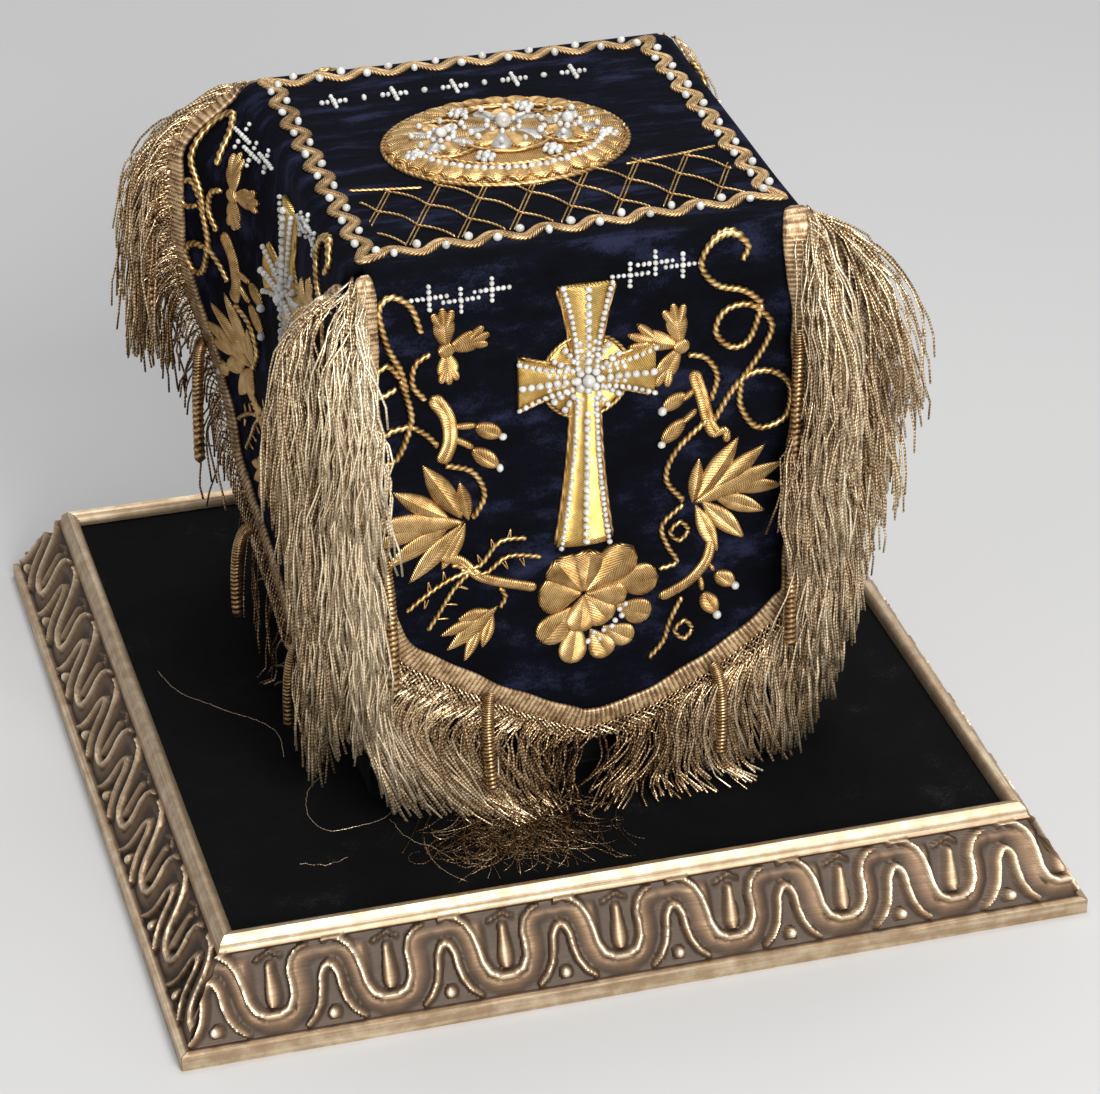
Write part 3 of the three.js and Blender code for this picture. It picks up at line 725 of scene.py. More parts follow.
SHORTER = {"front": 0.0, "right": 0.0, "back": 0.0, "left": 9.0}
FRINGE_LOSS = {"front": 0.0, "right": 0.0, "back": 0.1, "left": 0.92}
LOSS_DROP, LOSS_DROP_SOFT = 56.0, 36.0
LOSS_ACROSS, LOSS_ACROSS_SOFT = 44.0, 20.0
LOST_LENGTH = 22.0
GONE_LENGTH = 16.0
BOTTOM_REACH = 7.0
BOTTOM_LEAN = 0.35
REACH_COST = 0.35
FALL_CURVE = {"front": 1.6, "right": 1.45, "back": 1.7, "left": 2.0}
PANEL_REST = 31.4
FLOOR_BEND = 3.0
FLOOR_REST = (-6.0, 13.0)
LOW_STRANDS = [  # across, sweep aside of the strands' middles and ends, share gone, tarnish
    (-68, 1, 0, 0, 0), (-54, 8, -5, 0, 0), (-40, 13, -8, 0, 0.02), (-25, 12, -5, 0.05, 0.22),
    (-11, 3, 3, 0.25, 0.42), (0, -1, 4, 0.6, 0.52), (5, -6, 9, 0.8, 0.52), (14, -7, 10, 0.4, 0.46),
    (30, 6, 7, 0.3, 0.28), (46, 8, 1, 0.1, 0.06), (68, 0, 0, 0, 0),
]
LOCKS = {  # height and pitch in mm along the heading of the waves in which strands gather
    "fan": (5.0, 4.7),
    "spread": (0.12, 3.9),
    "length": (3.5, 6.1),
    "drift": (2.6, 3.3),
    "fine_drift": (1.5, 1.35),
    "bulge": (3.2, 11.0),
    "tone": (0.06, 5.3),
}
WAVE_HEIGHT, SWING_HEIGHT = 1.1, 0.8
WAVE_TURNS = (1.2, 2.6)
CLEAR_HEIGHT = 6.0
HEAP_HEIGHT = 2.0
NET_PITCH = 2.2
NET_SHIFT = 6.6
NET_SHARE = 0.3
NET_POINTS = 6
NET_RADIUS = 0.44
NET_LIFT, NET_WEAVE = 2.0, 0.6
NET_SPREAD = 0.9
NET_LENGTH = 56.0


def tube_mesh(name, paths, radius, sides, shade):
    """Threads in one mesh: paths (threads, points, 3) in mm, and the shade of each, dull to bright."""
    threads, points, _ = paths.shape
    way = np.gradient(paths, axis=1)
    way /= np.linalg.norm(way, axis=2, keepdims=True) + 1e-9
    aside = np.cross(way, np.array([0.31, 0.87, 0.38]))
    aside /= np.linalg.norm(aside, axis=2, keepdims=True) + 1e-9
    above = np.cross(way, aside)
    angle = 2 * math.pi * np.arange(sides) / sides
    ring = (
        aside[:, :, None] * np.cos(angle)[None, None, :, None]
        + above[:, :, None] * np.sin(angle)[None, None, :, None]
    )
    spots = (paths[:, :, None] + ring * radius).reshape(-1, 3) * MM
    first = np.arange(threads)[:, None, None] * points * sides
    row = np.arange(points - 1)[None, :, None] * sides
    corner = np.arange(sides)[None, None, :]
    after = (corner + 1) % sides
    walls = np.stack(
        [
            first + row + corner,
            first + row + after,
            first + row + sides + after,
            first + row + sides + corner,
        ],
        -1,
    ).reshape(-1, 4)
    caps = [np.arange(sides)[::-1] + n * points * sides for n in range(threads)]
    caps += [np.arange(sides) + (n * points + points - 1) * sides for n in range(threads)]
    mesh = bpy.data.meshes.new(name)
    mesh.from_pydata(spots.tolist(), [], walls.tolist() + [cap.tolist() for cap in caps])
    mark = mesh.attributes.new("shade", "FLOAT", "POINT")
    mark.data.foreach_set("value", np.repeat(shade, points * sides).astype(np.float32))
    run = np.concatenate(
        [
            np.zeros((threads, 1)),
            np.cumsum(np.linalg.norm(np.diff(paths, axis=1), axis=2), axis=1),
        ],
        1,
    )
    mark = mesh.attributes.new("run", "FLOAT", "POINT")
    mark.data.foreach_set("value", np.repeat(run.reshape(-1), sides).astype(np.float32))
    return mesh


def edge_at(flap, run):
    """Where a strand leaves a flap's edge, and the way out, at run mm along the edge."""
    edge_run, edge_spots, edge_ways = EDGES[flap]
    run = np.clip(run, 0, edge_run[-1])
    spot = np.stack([np.interp(run, edge_run, edge_spots[:, k]) for k in (0, 1)], -1)
    way = np.stack([np.interp(run, edge_run, edge_ways[:, k]) for k in (0, 1)], -1)
    return spot, way


def strand_path(flap, run, share, fan, spread, length, lift, outset=4.2, rest=0.0):
    """A strand's points, in mm, at share of its length: it bends over, falls and rests on the panel."""
    spot, way = edge_at(flap, run)
    lift = lift + end_swell(flap, run)
    root = hang(flap, spot[..., 0] + outset * way[..., 0], spot[..., 1] + outset * way[..., 1], lift)
    side = soft_step((np.abs(way[..., 0]) - SIDE_WAY) / SIDE_WAY_SOFT)
    low = np.clip((spot[..., 1] - REACH_DROPS) / REACH_DROPPED, 0, 1)
    high = np.where(spot[..., 0] < 0, *SIDE_REACH[flap])
    reach = side * (high + (LOW_REACH - high) * low)
    reach = (reach + (1 - side) * BOTTOM_REACH) * spread
    tilt = np.radians(fan)
    aside = side * np.sign(way[..., 0]) * np.sin(tilt)
    aside = aside + (1 - side) * BOTTOM_LEAN * spot[..., 0] / ARM_HALF
    forward = side * np.cos(tilt) + (1 - side)
    direction = turn_flap(flap, np.stack([aside, -forward, np.zeros_like(aside)], -1))
    out = reach * (1 - (1 - share) ** 2)
    fall = np.maximum(length - REACH_COST * reach, SHORTEST_FALL)
    fall = np.minimum(fall, root[..., 2] - PANEL_REST + rest)
    level = root[..., 2] - fall * share ** FALL_CURVE[flap]
    below = np.maximum(PANEL_REST + FLOOR_BEND - level, 0)
    spare = below - FLOOR_BEND * (1 - np.exp(-below / FLOOR_BEND))
    level = np.where(below > 0, PANEL_REST + FLOOR_BEND * np.exp(-below / FLOOR_BEND), level)
    out = out + spare
    flat = root[..., :2] + direction[..., :2] * out[..., None]
    return np.concatenate([flat, level[..., None]], -1), direction


def thread_finish(name, colours, rough, metal, pitch):
    """Twisted metal thread: painted highlight and shade alternating along the twist by the run, and
    painted glints, shaded thread by thread.
    """
    finish = start_finish(name, {"Metallic": metal, "Specular IOR Level": 0.5, "Roughness": rough})
    place = add_node(finish, "ShaderNodeTexCoord").outputs["Object"]
    shade = add_node(finish, "ShaderNodeAttribute", attribute_name="shade").outputs["Fac"]
    run = add_node(finish, "ShaderNodeAttribute", attribute_name="run").outputs["Fac"]
    # Fine noise for painted glints; it also jitters the twist.
    glint = add_noise(finish, place, 900.0, 1.0)
    twist = add_sum(finish, "MULTIPLY_ADD", glint, 7.0, add_sum(finish, "MULTIPLY", run, pitch))
    # Painted highlight and shade alternating along the twist.
    ply = add_sum(finish, "SINE", twist)
    tone = add_sum(finish, "MULTIPLY_ADD", ply, 0.28, shade)
    tone = add_sum(finish, "MULTIPLY_ADD", glint, 0.5, tone)
    tone = add_sum(finish, "SUBTRACT", tone, 0.25)
    set_shader(finish, {"Base Color": add_ramp(finish, tone, colours)})
    return finish


metal_strand = thread_finish(
    "metal_strand",
    [
        (0.0, (0.050, 0.025, 0.010)),
        (0.3, (0.215, 0.118, 0.048)),
        (0.6, (0.55, 0.385, 0.215)),
        (0.85, (0.95, 0.735, 0.46)),
        (1.0, (1.0, 0.88, 0.65)),
    ],
    0.33,
    0.75,
    5.2,
)
# Each flap's strand tone, brightest on the front and darkest at the back: partly the threads' own tone,
# partly painted light.
FRINGE_TONE_AND_LIGHT = {"front": 0.74, "right": 0.66, "back": 0.52, "left": 0.56}
# Painted light: the front flap's first side and the left flap's last side brighter, the front flap's
# last side a little darker.
SIDE_PAINTED_LIGHT = {"front": (0.26, -0.03), "right": (0.0, 0.0), "back": (0.0, 0.0), "left": (0.0, 0.16)}
TONE_SPREAD = 0.15
LOST_TONE = 0.38
NET_TONE = 0.5


def lock_wave(kind, run, phase):
    height, pitch = LOCKS[kind]
    return height * np.sin(run / pitch + phase)


low_across, *low_columns = np.array(LOW_STRANDS).T
for number, flap in enumerate(FLAPS):
    rng = np.random.default_rng(11 + number)
    whole = edge_length(flap)
    count = int(whole * STRANDS_PER_MM[flap])
    run = (np.arange(count) + rng.uniform(0, 1, count)) * whole / count
    spot, _ = edge_at(flap, run)
    lost = soft_step((spot[:, 1] - LOSS_DROP) / LOSS_DROP_SOFT)
    lost = lost * (1 - soft_step((spot[:, 0] - LOSS_ACROSS) / LOSS_ACROSS_SOFT))
    gone = np.interp(spot[:, 0], low_across, low_columns[2])
    kept = rng.uniform(0, 1, count) > np.maximum(FRINGE_LOSS[flap] * lost, gone)
    run, spot, lost = run[kept], spot[kept], lost[kept] * (FRINGE_LOSS[flap] > 0.5)
    count = len(run)
    lock = rng.uniform(0, 2 * math.pi, 6)
    middle_sweep, end_sweep, gone, tarnish = (
        np.interp(spot[:, 0], low_across, column) for column in low_columns
    )
    low_fan, high_fan = (np.where(spot[:, 0] < 0, *ends) for ends in zip(*SIDE_FANS[flap]))
    fan = low_fan + (high_fan - low_fan) * rng.uniform(0, 1, count)
    fan = fan + lock_wave("fan", run, lock[0])
    fan = np.where(spot[:, 1] < OUTWARD_DROP, np.abs(fan), fan)
    spread = rng.uniform(*STRAND_SPREAD, count) * (1 + lock_wave("spread", run, lock[1]))
    length = rng.uniform(*STRAND_LENGTH, count) + lock_wave("length", run, lock[2]) - LOST_LENGTH * lost
    length = length - SHORTER[flap] * (spot[:, 0] < -SIDE_STRANDS)
    length = length - GONE_LENGTH * gone * rng.uniform(0, 1, count)
    lift = rng.uniform(*STRAND_LIFT, count)
    start = np.where(np.abs(spot[:, 0]) > ARM_HALF - 2, *STRAND_START)[:, None]
    along = np.linspace(0, 1, STRAND_POINTS)
    share = start + (1 - start) * along
    paths, direction = strand_path(
        flap,
        run[:, None] + 0 * share,
        share,
        fan[:, None],
        spread[:, None],
        length[:, None],
        lift[:, None],
        rng.uniform(*STRAND_OUTSET, count)[:, None],
        rng.uniform(*FLOOR_REST, count)[:, None],
    )
    beside = np.cross(direction, np.array([0.0, 0.0, 1.0]))
    beside /= np.linalg.norm(beside, axis=-1, keepdims=True)
    drift = lock_wave("drift", run, lock[3]) + lock_wave("fine_drift", run, lock[4])
    drift = drift + rng.normal(0, 2.4, count)
    sway = drift[:, None] * share**1.3
    bulge = lock_wave("bulge", run, lock[0]) + rng.normal(0, 1.2, count)
    sway = sway + bulge[:, None] * np.sin(math.pi * along) ** 2
    middle_sweep = middle_sweep * rng.normal(1, 0.16, count)
    end_sweep = end_sweep * rng.normal(1, 0.16, count)
    sway = sway + middle_sweep[:, None] * np.sin(math.pi * along**0.85) + end_sweep[:, None] * along**2
    phase = rng.uniform(0, 2 * math.pi, count)[:, None]
    turns = rng.uniform(*WAVE_TURNS, count)[:, None]
    loosened = np.minimum(share * 3, 1)
    sway = sway + WAVE_HEIGHT * np.sin(2 * math.pi * turns * share + phase) * loosened
    clear = np.clip((paths[..., 2] - PANEL_REST) / CLEAR_HEIGHT, 0, 1)
    swing = SWING_HEIGHT * np.cos(2 * math.pi * turns * 0.8 * share + phase * 1.7) * loosened
    paths = paths + beside * sway[..., None] + direction * (swing * clear)[..., None]
    paths[..., 2] += rng.uniform(0, HEAP_HEIGHT, count)[:, None] * (1 - clear)
    # Flap tone, partly painted light, with a random spread thread by thread.
    shade = FRINGE_TONE_AND_LIGHT[flap] + rng.normal(0, TONE_SPREAD, count)
    shade = shade - tarnish * (1 - lost) - LOST_TONE * lost + lock_wave("tone", run, lock[5])
    # Painted light on the sides of the front and left flaps.
    first_light, last_light = SIDE_PAINTED_LIGHT[flap]
    shade = shade + first_light * (spot[:, 0] < -SIDE_STRANDS) + last_light * (spot[:, 0] > SIDE_STRANDS)
    shade = np.clip(shade, 0.05, 1)
    strands = tube_mesh(f"fringe_strands_{flap}", paths, STRAND_RADIUS, STRAND_SIDES, shade)
    set_piece(f"fringe_strands_{flap}", strands, metal_strand, [f"fringe_{flap}"])

    loops = int(whole / NET_PITCH)
    begin = np.repeat((np.arange(loops) + 0.5) * NET_PITCH, 2)
    hand = np.tile([-1.0, 1.0], loops)
    down = np.linspace(0.0, 1.0, NET_POINTS)[None, :]
    crossing = begin[:, None] + hand[:, None] * NET_SHIFT * (down - 0.5)
    net_fan = np.where(crossing < whole / 2, *[sum(ends) / 2 for ends in SIDE_FANS[flap]])
    paths, _ = strand_path(
        flap,
        crossing,
        down * NET_SHARE + 0 * crossing,
        net_fan,
        np.full_like(crossing, NET_SPREAD),
        np.full_like(crossing, NET_LENGTH),
        NET_LIFT + NET_WEAVE * hand[:, None] * np.sin(math.pi * down),
    )
    shade = np.clip(NET_TONE + rng.normal(0, 0.12, 2 * loops), 0.2, 1)
    net = tube_mesh(f"fringe_loops_{flap}", paths, NET_RADIUS, STRAND_SIDES, shade)
    set_piece(f"fringe_loops_{flap}", net, metal_strand, [f"fringe_{flap}"])

# ---- Bullions
# Thick drops of gilt wire wound in a close coil, six to a flap. Each is sewn on by its upper end, in
# front of the heading, and hangs among the strands without reaching the panel.

BULLION_PLACES = (-0.82, -0.56, -0.2, 0.19, 0.5, 0.82)  # shares of half the heading, from its middle
BULLION_RADIUS = 2.2
BULLION_LENGTH = 50.0
BULLION_LIFT = 4.6
BULLION_CLEAR = 4.0
SIDE_PLACE, HIGH_PLACE = 0.45, 0.7
BULLION_COILS = 34
COIL_STEPS = 4
COIL_DEPTH = 0.42
BULLION_SIDES = 7


def coil_finish(name, metal, rough, wear, stops):
    """Wound or twisted metal: painted shade between its turns, read from the attribute coil, with small
    worn patches.
    """
    finish = start_finish(name, {"Metallic": metal, "Roughness": rough})
    place = add_node(finish, "ShaderNodeTexCoord").outputs["Object"]
    mark = add_node(finish, "ShaderNodeAttribute", attribute_name="coil").outputs["Fac"]
    # Painted shade: darker where the coil attribute marks the grooves between turns.
    tone = add_sum(finish, "MULTIPLY_ADD", mark, 0.5, add_noise(finish, place, *wear))
    set_shader(finish, {"Base Color": add_ramp(finish, tone, stops)})
    return finish


coiled_wire = coil_finish(
    "coiled_wire",
    0.9,
    0.34,
    (420.0, 3.0, 0.6),
    [
        (0.4, (0.038, 0.018, 0.007)),
        (0.7, (0.230, 0.124, 0.050)),
        (1.0, (0.62, 0.42, 0.21)),
    ],
)

for number, flap in enumerate(FLAPS):
    rng = np.random.default_rng(31 + number)
    bm = bmesh.new()
    rows = BULLION_COILS * COIL_STEPS
    for place in BULLION_PLACES:
        share = np.linspace(0, 1, rows + 1)
        run = np.full(rows + 1, (place + 1) / 2 * edge_length(flap))
        length = BULLION_LENGTH * rng.uniform(0.92, 1.06)
        on_side = abs(place) > SIDE_PLACE
        half_way = on_side and abs(place) < HIGH_PLACE and flap != "left"
        spread = np.full(rows + 1, 0.7 if half_way else 0.24 if on_side else 0.9)
        fan = np.full(rows + 1, -9.0 if half_way else 17.0 if place < 0 else -17.0)
        outset = 4.0 if place < -HIGH_PLACE else -1.0 if on_side else 1.5
        root, _ = strand_path(flap, run[0], 0.0, fan[0], spread[0], length, BULLION_LIFT, outset)
        length = min(length, root[2] - PANEL_REST - FLOOR_BEND - BULLION_CLEAR)
        path, _ = strand_path(flap, run, share, fan, spread, length, BULLION_LIFT, outset)
        path = path + rng.normal(0, 1.0, 3) * np.sin(math.pi * share)[:, None] * [1, 1, 0]
        way = np.gradient(path, axis=0)
        way /= np.linalg.norm(way, axis=1, keepdims=True)
        aside = np.cross(way, turn_flap(flap, np.array([0.0, -1.0, 0.2])))
        aside /= np.linalg.norm(aside, axis=1, keepdims=True)
        above = np.cross(way, aside)

        def coil_swell(i, j):
            return np.cos(2 * math.pi * (j / COIL_STEPS - i / BULLION_SIDES))

        def coil_point(i, j):
            angle = 2 * math.pi * i / BULLION_SIDES
            radius = BULLION_RADIUS - COIL_DEPTH * (0.5 - 0.5 * coil_swell(i, j))
            radius = radius * np.minimum(1, np.minimum(j, rows - j) / 3)
            return (
                path[j]
                + aside[j] * (np.cos(angle) * radius)[:, None]
                + above[j] * (np.sin(angle) * radius)[:, None]
            )

        # Marks the grooves between the coil's turns for painted shade.
        marks = {"coil": lambda i, j: coil_swell(i, j) * 0.5 + 0.5}
        add_patch(bm, BULLION_SIDES, rows, coil_point, None, marks)
    close_patches(bm)
    set_piece(f"bullions_{flap}", bm, coiled_wire, [f"fringe_{flap}"])

# ---- Frayed threads
# Fine dark ends that have come loose from the front tip's strands and lie tangled on the panel, with a
# few long pale ones drawn out towards the frame.

FRAY_COUNT = 380
FRAY_POINTS = 8
FRAY_RADIUS = 0.12
FRAY_MIDDLE, FRAY_SCATTER = -27, 12
FRAY_ROWS = (-108, -82)
FRAY_LENGTH = (8, 26)
FRAY_FRONT = -121.0
FRAY_RISE = 5
PANEL_TOP = 30.5
LOOSE_THREADS = [
    [(-80, -48), (-88, -58), (-91, -72), (-86, -81), (-75, -81), (-65, -77), (-63, -68)],
    [(-66, -80), (-63, -92), (-56, -100), (-52, -108)],
    [(-121, 27), (-117, 13), (-106, -1), (-97, -10), (-90, -21), (-91, -36)],
    [(-100, -96), (-92, -99), (-84, -97)],
]
LOOSE_POINTS = 60


def draw_line(points, step):
    """A smooth line through a few (a, b) points, in mm, with a point about every step mm."""
    points = np.array(points, float)
    knots = np.vstack([2 * points[0] - points[1], points, 2 * points[-1] - points[-2]])
    line = []
    for a, b, c, d in zip(knots, knots[1:], knots[2:], knots[3:]):
        s = np.linspace(0, 1, max(3, int(np.linalg.norm(c - b) / 0.3)), endpoint=False)[:, None]
        bend = (2 * a - 5 * b + 4 * c - d) * s**2 + (3 * b - a - 3 * c + d) * s**3
        line.append(0.5 * (2 * b + (c - a) * s + bend))
    line = np.vstack(line + [points[-1:]])
    run = np.concatenate([[0], np.cumsum(np.linalg.norm(np.diff(line, axis=0), axis=1))])
    places = np.linspace(0, run[-1], max(2, int(run[-1] / step)) + 1)
    return np.stack([np.interp(places, run, line[:, k]) for k in (0, 1)], 1)


rng = np.random.default_rng(5)
fray_across = rng.normal(FRAY_MIDDLE, FRAY_SCATTER, FRAY_COUNT)
fray = [np.stack([fray_across, rng.uniform(*FRAY_ROWS, FRAY_COUNT)], 1)]
heading = np.radians(rng.normal(-95, 45, FRAY_COUNT))
curl = np.radians(rng.normal(0, 42, FRAY_COUNT))
stride = (rng.uniform(*FRAY_LENGTH, FRAY_COUNT) / (FRAY_POINTS - 1))[:, None]
for step in range(FRAY_POINTS - 1):
    turned = heading + curl * step
    fray.append(fray[-1] + stride * np.stack([np.cos(turned), np.sin(turned)], 1))
fray = np.stack(fray, 1)
fray[..., 1] = np.maximum(fray[..., 1], FRAY_FRONT)
fray_rise = rng.uniform(0, FRAY_RISE, FRAY_COUNT)[:, None] * np.linspace(1, 0, FRAY_POINTS)
fray = np.concatenate([fray, (PANEL_TOP + 0.25 + fray_rise)[..., None]], -1)
fray_shade = np.clip(rng.normal(0.16, 0.2, FRAY_COUNT), 0.02, 0.9)
mesh = tube_mesh("frayed_threads", fray, FRAY_RADIUS, STRAND_SIDES, fray_shade)
set_piece("frayed_threads", mesh, metal_strand)
loose = []
for points in LOOSE_THREADS:
    line = draw_line(points, 0.4)
    line = line[np.linspace(0, len(line) - 1, LOOSE_POINTS).astype(int)]
    level = PANEL_TOP + 0.2 + 0.5 * np.sin(np.arange(LOOSE_POINTS) / 5.0) ** 2
    loose.append(np.concatenate([line + rng.normal(0, 0.12, line.shape), level[:, None]], 1))
loose_shade = rng.uniform(0.5, 0.9, len(loose))
mesh = tube_mesh("loose_threads", np.array(loose), FRAY_RADIUS, STRAND_SIDES, loose_shade)
set_piece("loose_threads", mesh, metal_strand)

# ---- Top braid
# A flat ribbon of gilt thread, laid in waves round the edge of the veil's top and stitched down, satin
# on the bends and grainy between them.

BRAID_CORNERS = np.array([(-66.5, -64.0), (66.0, -57.0), (62.5, 64.0), (-66.5, 65.0)])
BRAID_SWING = 2.4
BRAID_WAVES = 8
BRAID_WIDTH = 4.0
BRAID_FOOT = 0.9
BRAID_THICKNESS = 1.0
BRAID_STEPS = 20
WAVE_RUN = 18.0
BRAID_RING = [  # across in half widths, height in thicknesses
    (-1.0, 0.0),
    (-0.85, 0.7),
    (-0.4, 1.0),
    (0.0, 0.8),
    (0.4, 1.0),
    (0.85, 0.7),
    (1.0, 0.0),
    (0.0, 0.0),
]
braid_ring = np.array(BRAID_RING)
braid_sides = np.roll(BRAID_CORNERS, -1, 0) - BRAID_CORNERS
braid_out = np.stack([braid_sides[:, 1], -braid_sides[:, 0]], 1)
braid_out /= np.linalg.norm(braid_out, axis=1, keepdims=True)


def braid_line(run):
    """The braid's middle line on the top, in mm, at run sides from its first corner."""
    side = np.floor(run + 1e-9).astype(int) % 4
    share = (run - np.floor(run + 1e-9))[:, None]
    wave = share * BRAID_WAVES
    swing = BRAID_SWING * np.cos(2 * math.pi * wave)
    begins = swing * (wave < 0.25)
    ends = swing * (wave > BRAID_WAVES - 0.25)
    line = BRAID_CORNERS[side] + braid_sides[side] * share + braid_out[side] * swing
    return line + braid_out[(side + 3) % 4] * begins + braid_out[(side + 1) % 4] * ends


def stripe_finish(name, colours, rough, pitch, slant, bump):
    """Laid metal thread: fine slanting rows by the piece's UV, in mm, painted highlight on each row and
    painted shade between rows, with worn and bright patches.
    """
    finish = start_finish(name, {"Metallic": 0.9, "Specular IOR Level": 0.5})
    place = add_node(finish, "ShaderNodeTexCoord")
    spot = add_node(finish, "ShaderNodeSeparateXYZ", {"Vector": place.outputs["UV"]})
    lean = add_sum(finish, "MULTIPLY", add_sum(finish, "ABSOLUTE", spot.outputs["X"]), slant)
    count = add_sum(finish, "MULTIPLY", add_sum(finish, "ADD", lean, spot.outputs["Y"]), pitch)
    wear = add_noise(finish, place.outputs["Object"], 210.0, 4.0, 0.62)
    count = add_sum(finish, "MULTIPLY_ADD", wear, 2.5, count)
    # Painted highlight along each thread and painted shade between the rows.
    row = add_sum(finish, "MULTIPLY_ADD", add_sum(finish, "SINE", count), 0.5, 0.5)
    tarnish = add_sum(finish, "MULTIPLY", add_noise(finish, place.outputs["Object"], 22.0), 0.6)
    tone = add_sum(finish, "ADD", add_sum(finish, "MULTIPLY_ADD", row, 0.42, wear), tarnish)
    tone = add_sum(finish, "SUBTRACT", tone, 0.3)
    roughness = add_node(
        finish, "ShaderNodeMapRange", {"Value": wear, "To Min": rough + 0.12, "To Max": rough - 0.1}
    )
    set_shader(
        finish,
        {
            "Base Color": add_ramp(finish, tone, colours),
            "Roughness": roughness.outputs["Result"],
            "Normal": add_bump(finish, row, bump, 0.0003),
        },
    )
    return finish


satin_braid = stripe_finish(
    "satin_braid",
    [
        (0.35, (0.095, 0.046, 0.016)),
        (0.6, (0.32, 0.182, 0.072)),
        (0.92, (0.70, 0.49, 0.25)),
    ],
    0.44,
    6.0,
    1.4,
    0.5,
)
braid_count = 4 * BRAID_WAVES * BRAID_STEPS
braid_run = np.arange(braid_count) / braid_count * 4
braid_spots = braid_line(braid_run)
braid_way = np.roll(braid_spots, -1, 0) - np.roll(braid_spots, 1, 0)
braid_way /= np.linalg.norm(braid_way, axis=1, keepdims=True)


def braid_place(i, j):
    across, raised = braid_ring[j % len(braid_ring)].T
    i = i % braid_count
    aside = np.stack([-braid_way[i, 1], braid_way[i, 0]], 1)
    spot = braid_spots[i] + aside * (across * BRAID_WIDTH / 2)[:, None]
    return lie_on_top(spot[:, 0], spot[:, 1], BRAID_FOOT + raised * BRAID_THICKNESS)


def braid_chart(i, j):
    return braid_ring[j % len(braid_ring)][:, 0] * BRAID_WIDTH / 2, i / BRAID_STEPS * WAVE_RUN


bm = bmesh.new()
add_patch(bm, braid_count, len(braid_ring), braid_place, braid_chart)
close_patches(bm)
set_piece("wavy_braid", bm, satin_braid, ["top_braid"])

# ---- Border pearls
# Uneven river pearls, white with a little grey, drilled through. One is sewn into every bend of the
# braid, on both of its sides.

PEARL_RADIUS = 1.35
PEARL_FOOT = 0.8
OUTER_PEARLS, INNER_PEARLS = 4.0, 4.2
pearl_coat = start_finish(
    "pearl_coat",
    {"Roughness": 0.2, "Specular IOR Level": 0.6, "Coat Weight": 0.25, "Coat Roughness": 0.12},
)
pearl_place = add_node(pearl_coat, "ShaderNodeTexCoord").outputs["Object"]
pearl_cloud = add_noise(pearl_coat, pearl_place, 320.0, 3.0, 0.6)
pearl_colour = add_ramp(
    pearl_coat,
    pearl_cloud,
    [
        (0.3, (0.34, 0.315, 0.28)),
        (0.5, (0.50, 0.49, 0.46)),
        (0.7, (0.62, 0.61, 0.575)),
    ],
)
set_shader(pearl_coat, {"Base Color": pearl_colour})


def sew_pearls(name, spots, seed, uneven=0.16):
    """Pearls joined in one piece: rows of x, y, z and radius, in mm."""
    rng = np.random.default_rng(seed)
    bm = bmesh.new()
    bmesh.ops.create_icosphere(bm, subdivisions=2, radius=1.0)
    ball = np.array([vert.co[:] for vert in bm.verts])
    sides = np.array([[vert.index for vert in face.verts] for face in bm.faces])
    bm.free()
    corners, faces = [], []
    for number, (x, y, z, radius) in enumerate(spots):
        spun = np.array(Matrix.Rotation(rng.uniform(0, 6.28), 3, Vector(rng.normal(0, 1, 3))))
        shape = ball * (1 + rng.uniform(-uneven, uneven, 3))
        corners.append((shape @ spun.T) * radius + (x, y, z))
        faces.append(sides + number * len(ball))
    mesh = bpy.data.meshes.new(name)
    mesh.from_pydata((np.concatenate(corners) * MM).tolist(), [], np.concatenate(faces).tolist())
    return set_piece(name, mesh, pearl_coat)


border_spots = []
for side in range(4):
    for bend in range(BRAID_WAVES):
        outer, inner = OUTER_PEARLS - BRAID_SWING, BRAID_SWING - INNER_PEARLS
        for share, out in ((bend + 0.5, outer), (bend, inner)):
            spot = BRAID_CORNERS[side] + braid_sides[side] * share / BRAID_WAVES + braid_out[side] * out
            if share == 0:
                spot = spot + braid_out[(side + 3) % 4] * out * 2
            lift = PEARL_FOOT + PEARL_RADIUS * 0.85
            border_spots.append((*lie_on_top(spot[0], spot[1], lift), PEARL_RADIUS))
sew_pearls("border_pearls", border_spots, 3)

# ---- Lattice cords
# Fine gilt cords couched over the front part of the top, from the braid up to the medallion: pairs of
# straight threads one way, arched cords the other way, caught down where they cross.

LATTICE_FRONT = -60.5
LATTICE_SLANT = 0.053
LATTICE_BACK = -20.0
LATTICE_PITCH = 16.3
LATTICE_FIRST = -118.0
STRAIGHT_LEAN = 0.53
ARCHED_LEAN = -0.78
ARCH_RISE = 1.7
LATTICE_ROW = LATTICE_PITCH / (STRAIGHT_LEAN - ARCHED_LEAN)
LATTICE_HALF = 60.0
LATTICE_LINES = 22
LATTICE_BORDERS = ([(-61, -19), (-50, -21), (-38, -23)], [(28, -24), (42, -22), (60, -19)])
SHORTEST_CORD = 8
MEDALLION_MIDDLE = np.array([-4.0, 1.5])
MEDALLION_HALF = (40.0, 31.0)
CORD_SIDES = 6


def line_frame(line):
    """The run along a line of (a, b) points, in mm, and the way to its side at each."""
    run = np.concatenate([[0], np.cumsum(np.linalg.norm(np.diff(line, axis=0), axis=1))])
    way = np.gradient(line, axis=0)
    way /= np.linalg.norm(way, axis=1, keepdims=True) + 1e-9
    return run, np.stack([-way[:, 1], way[:, 0]], 1)


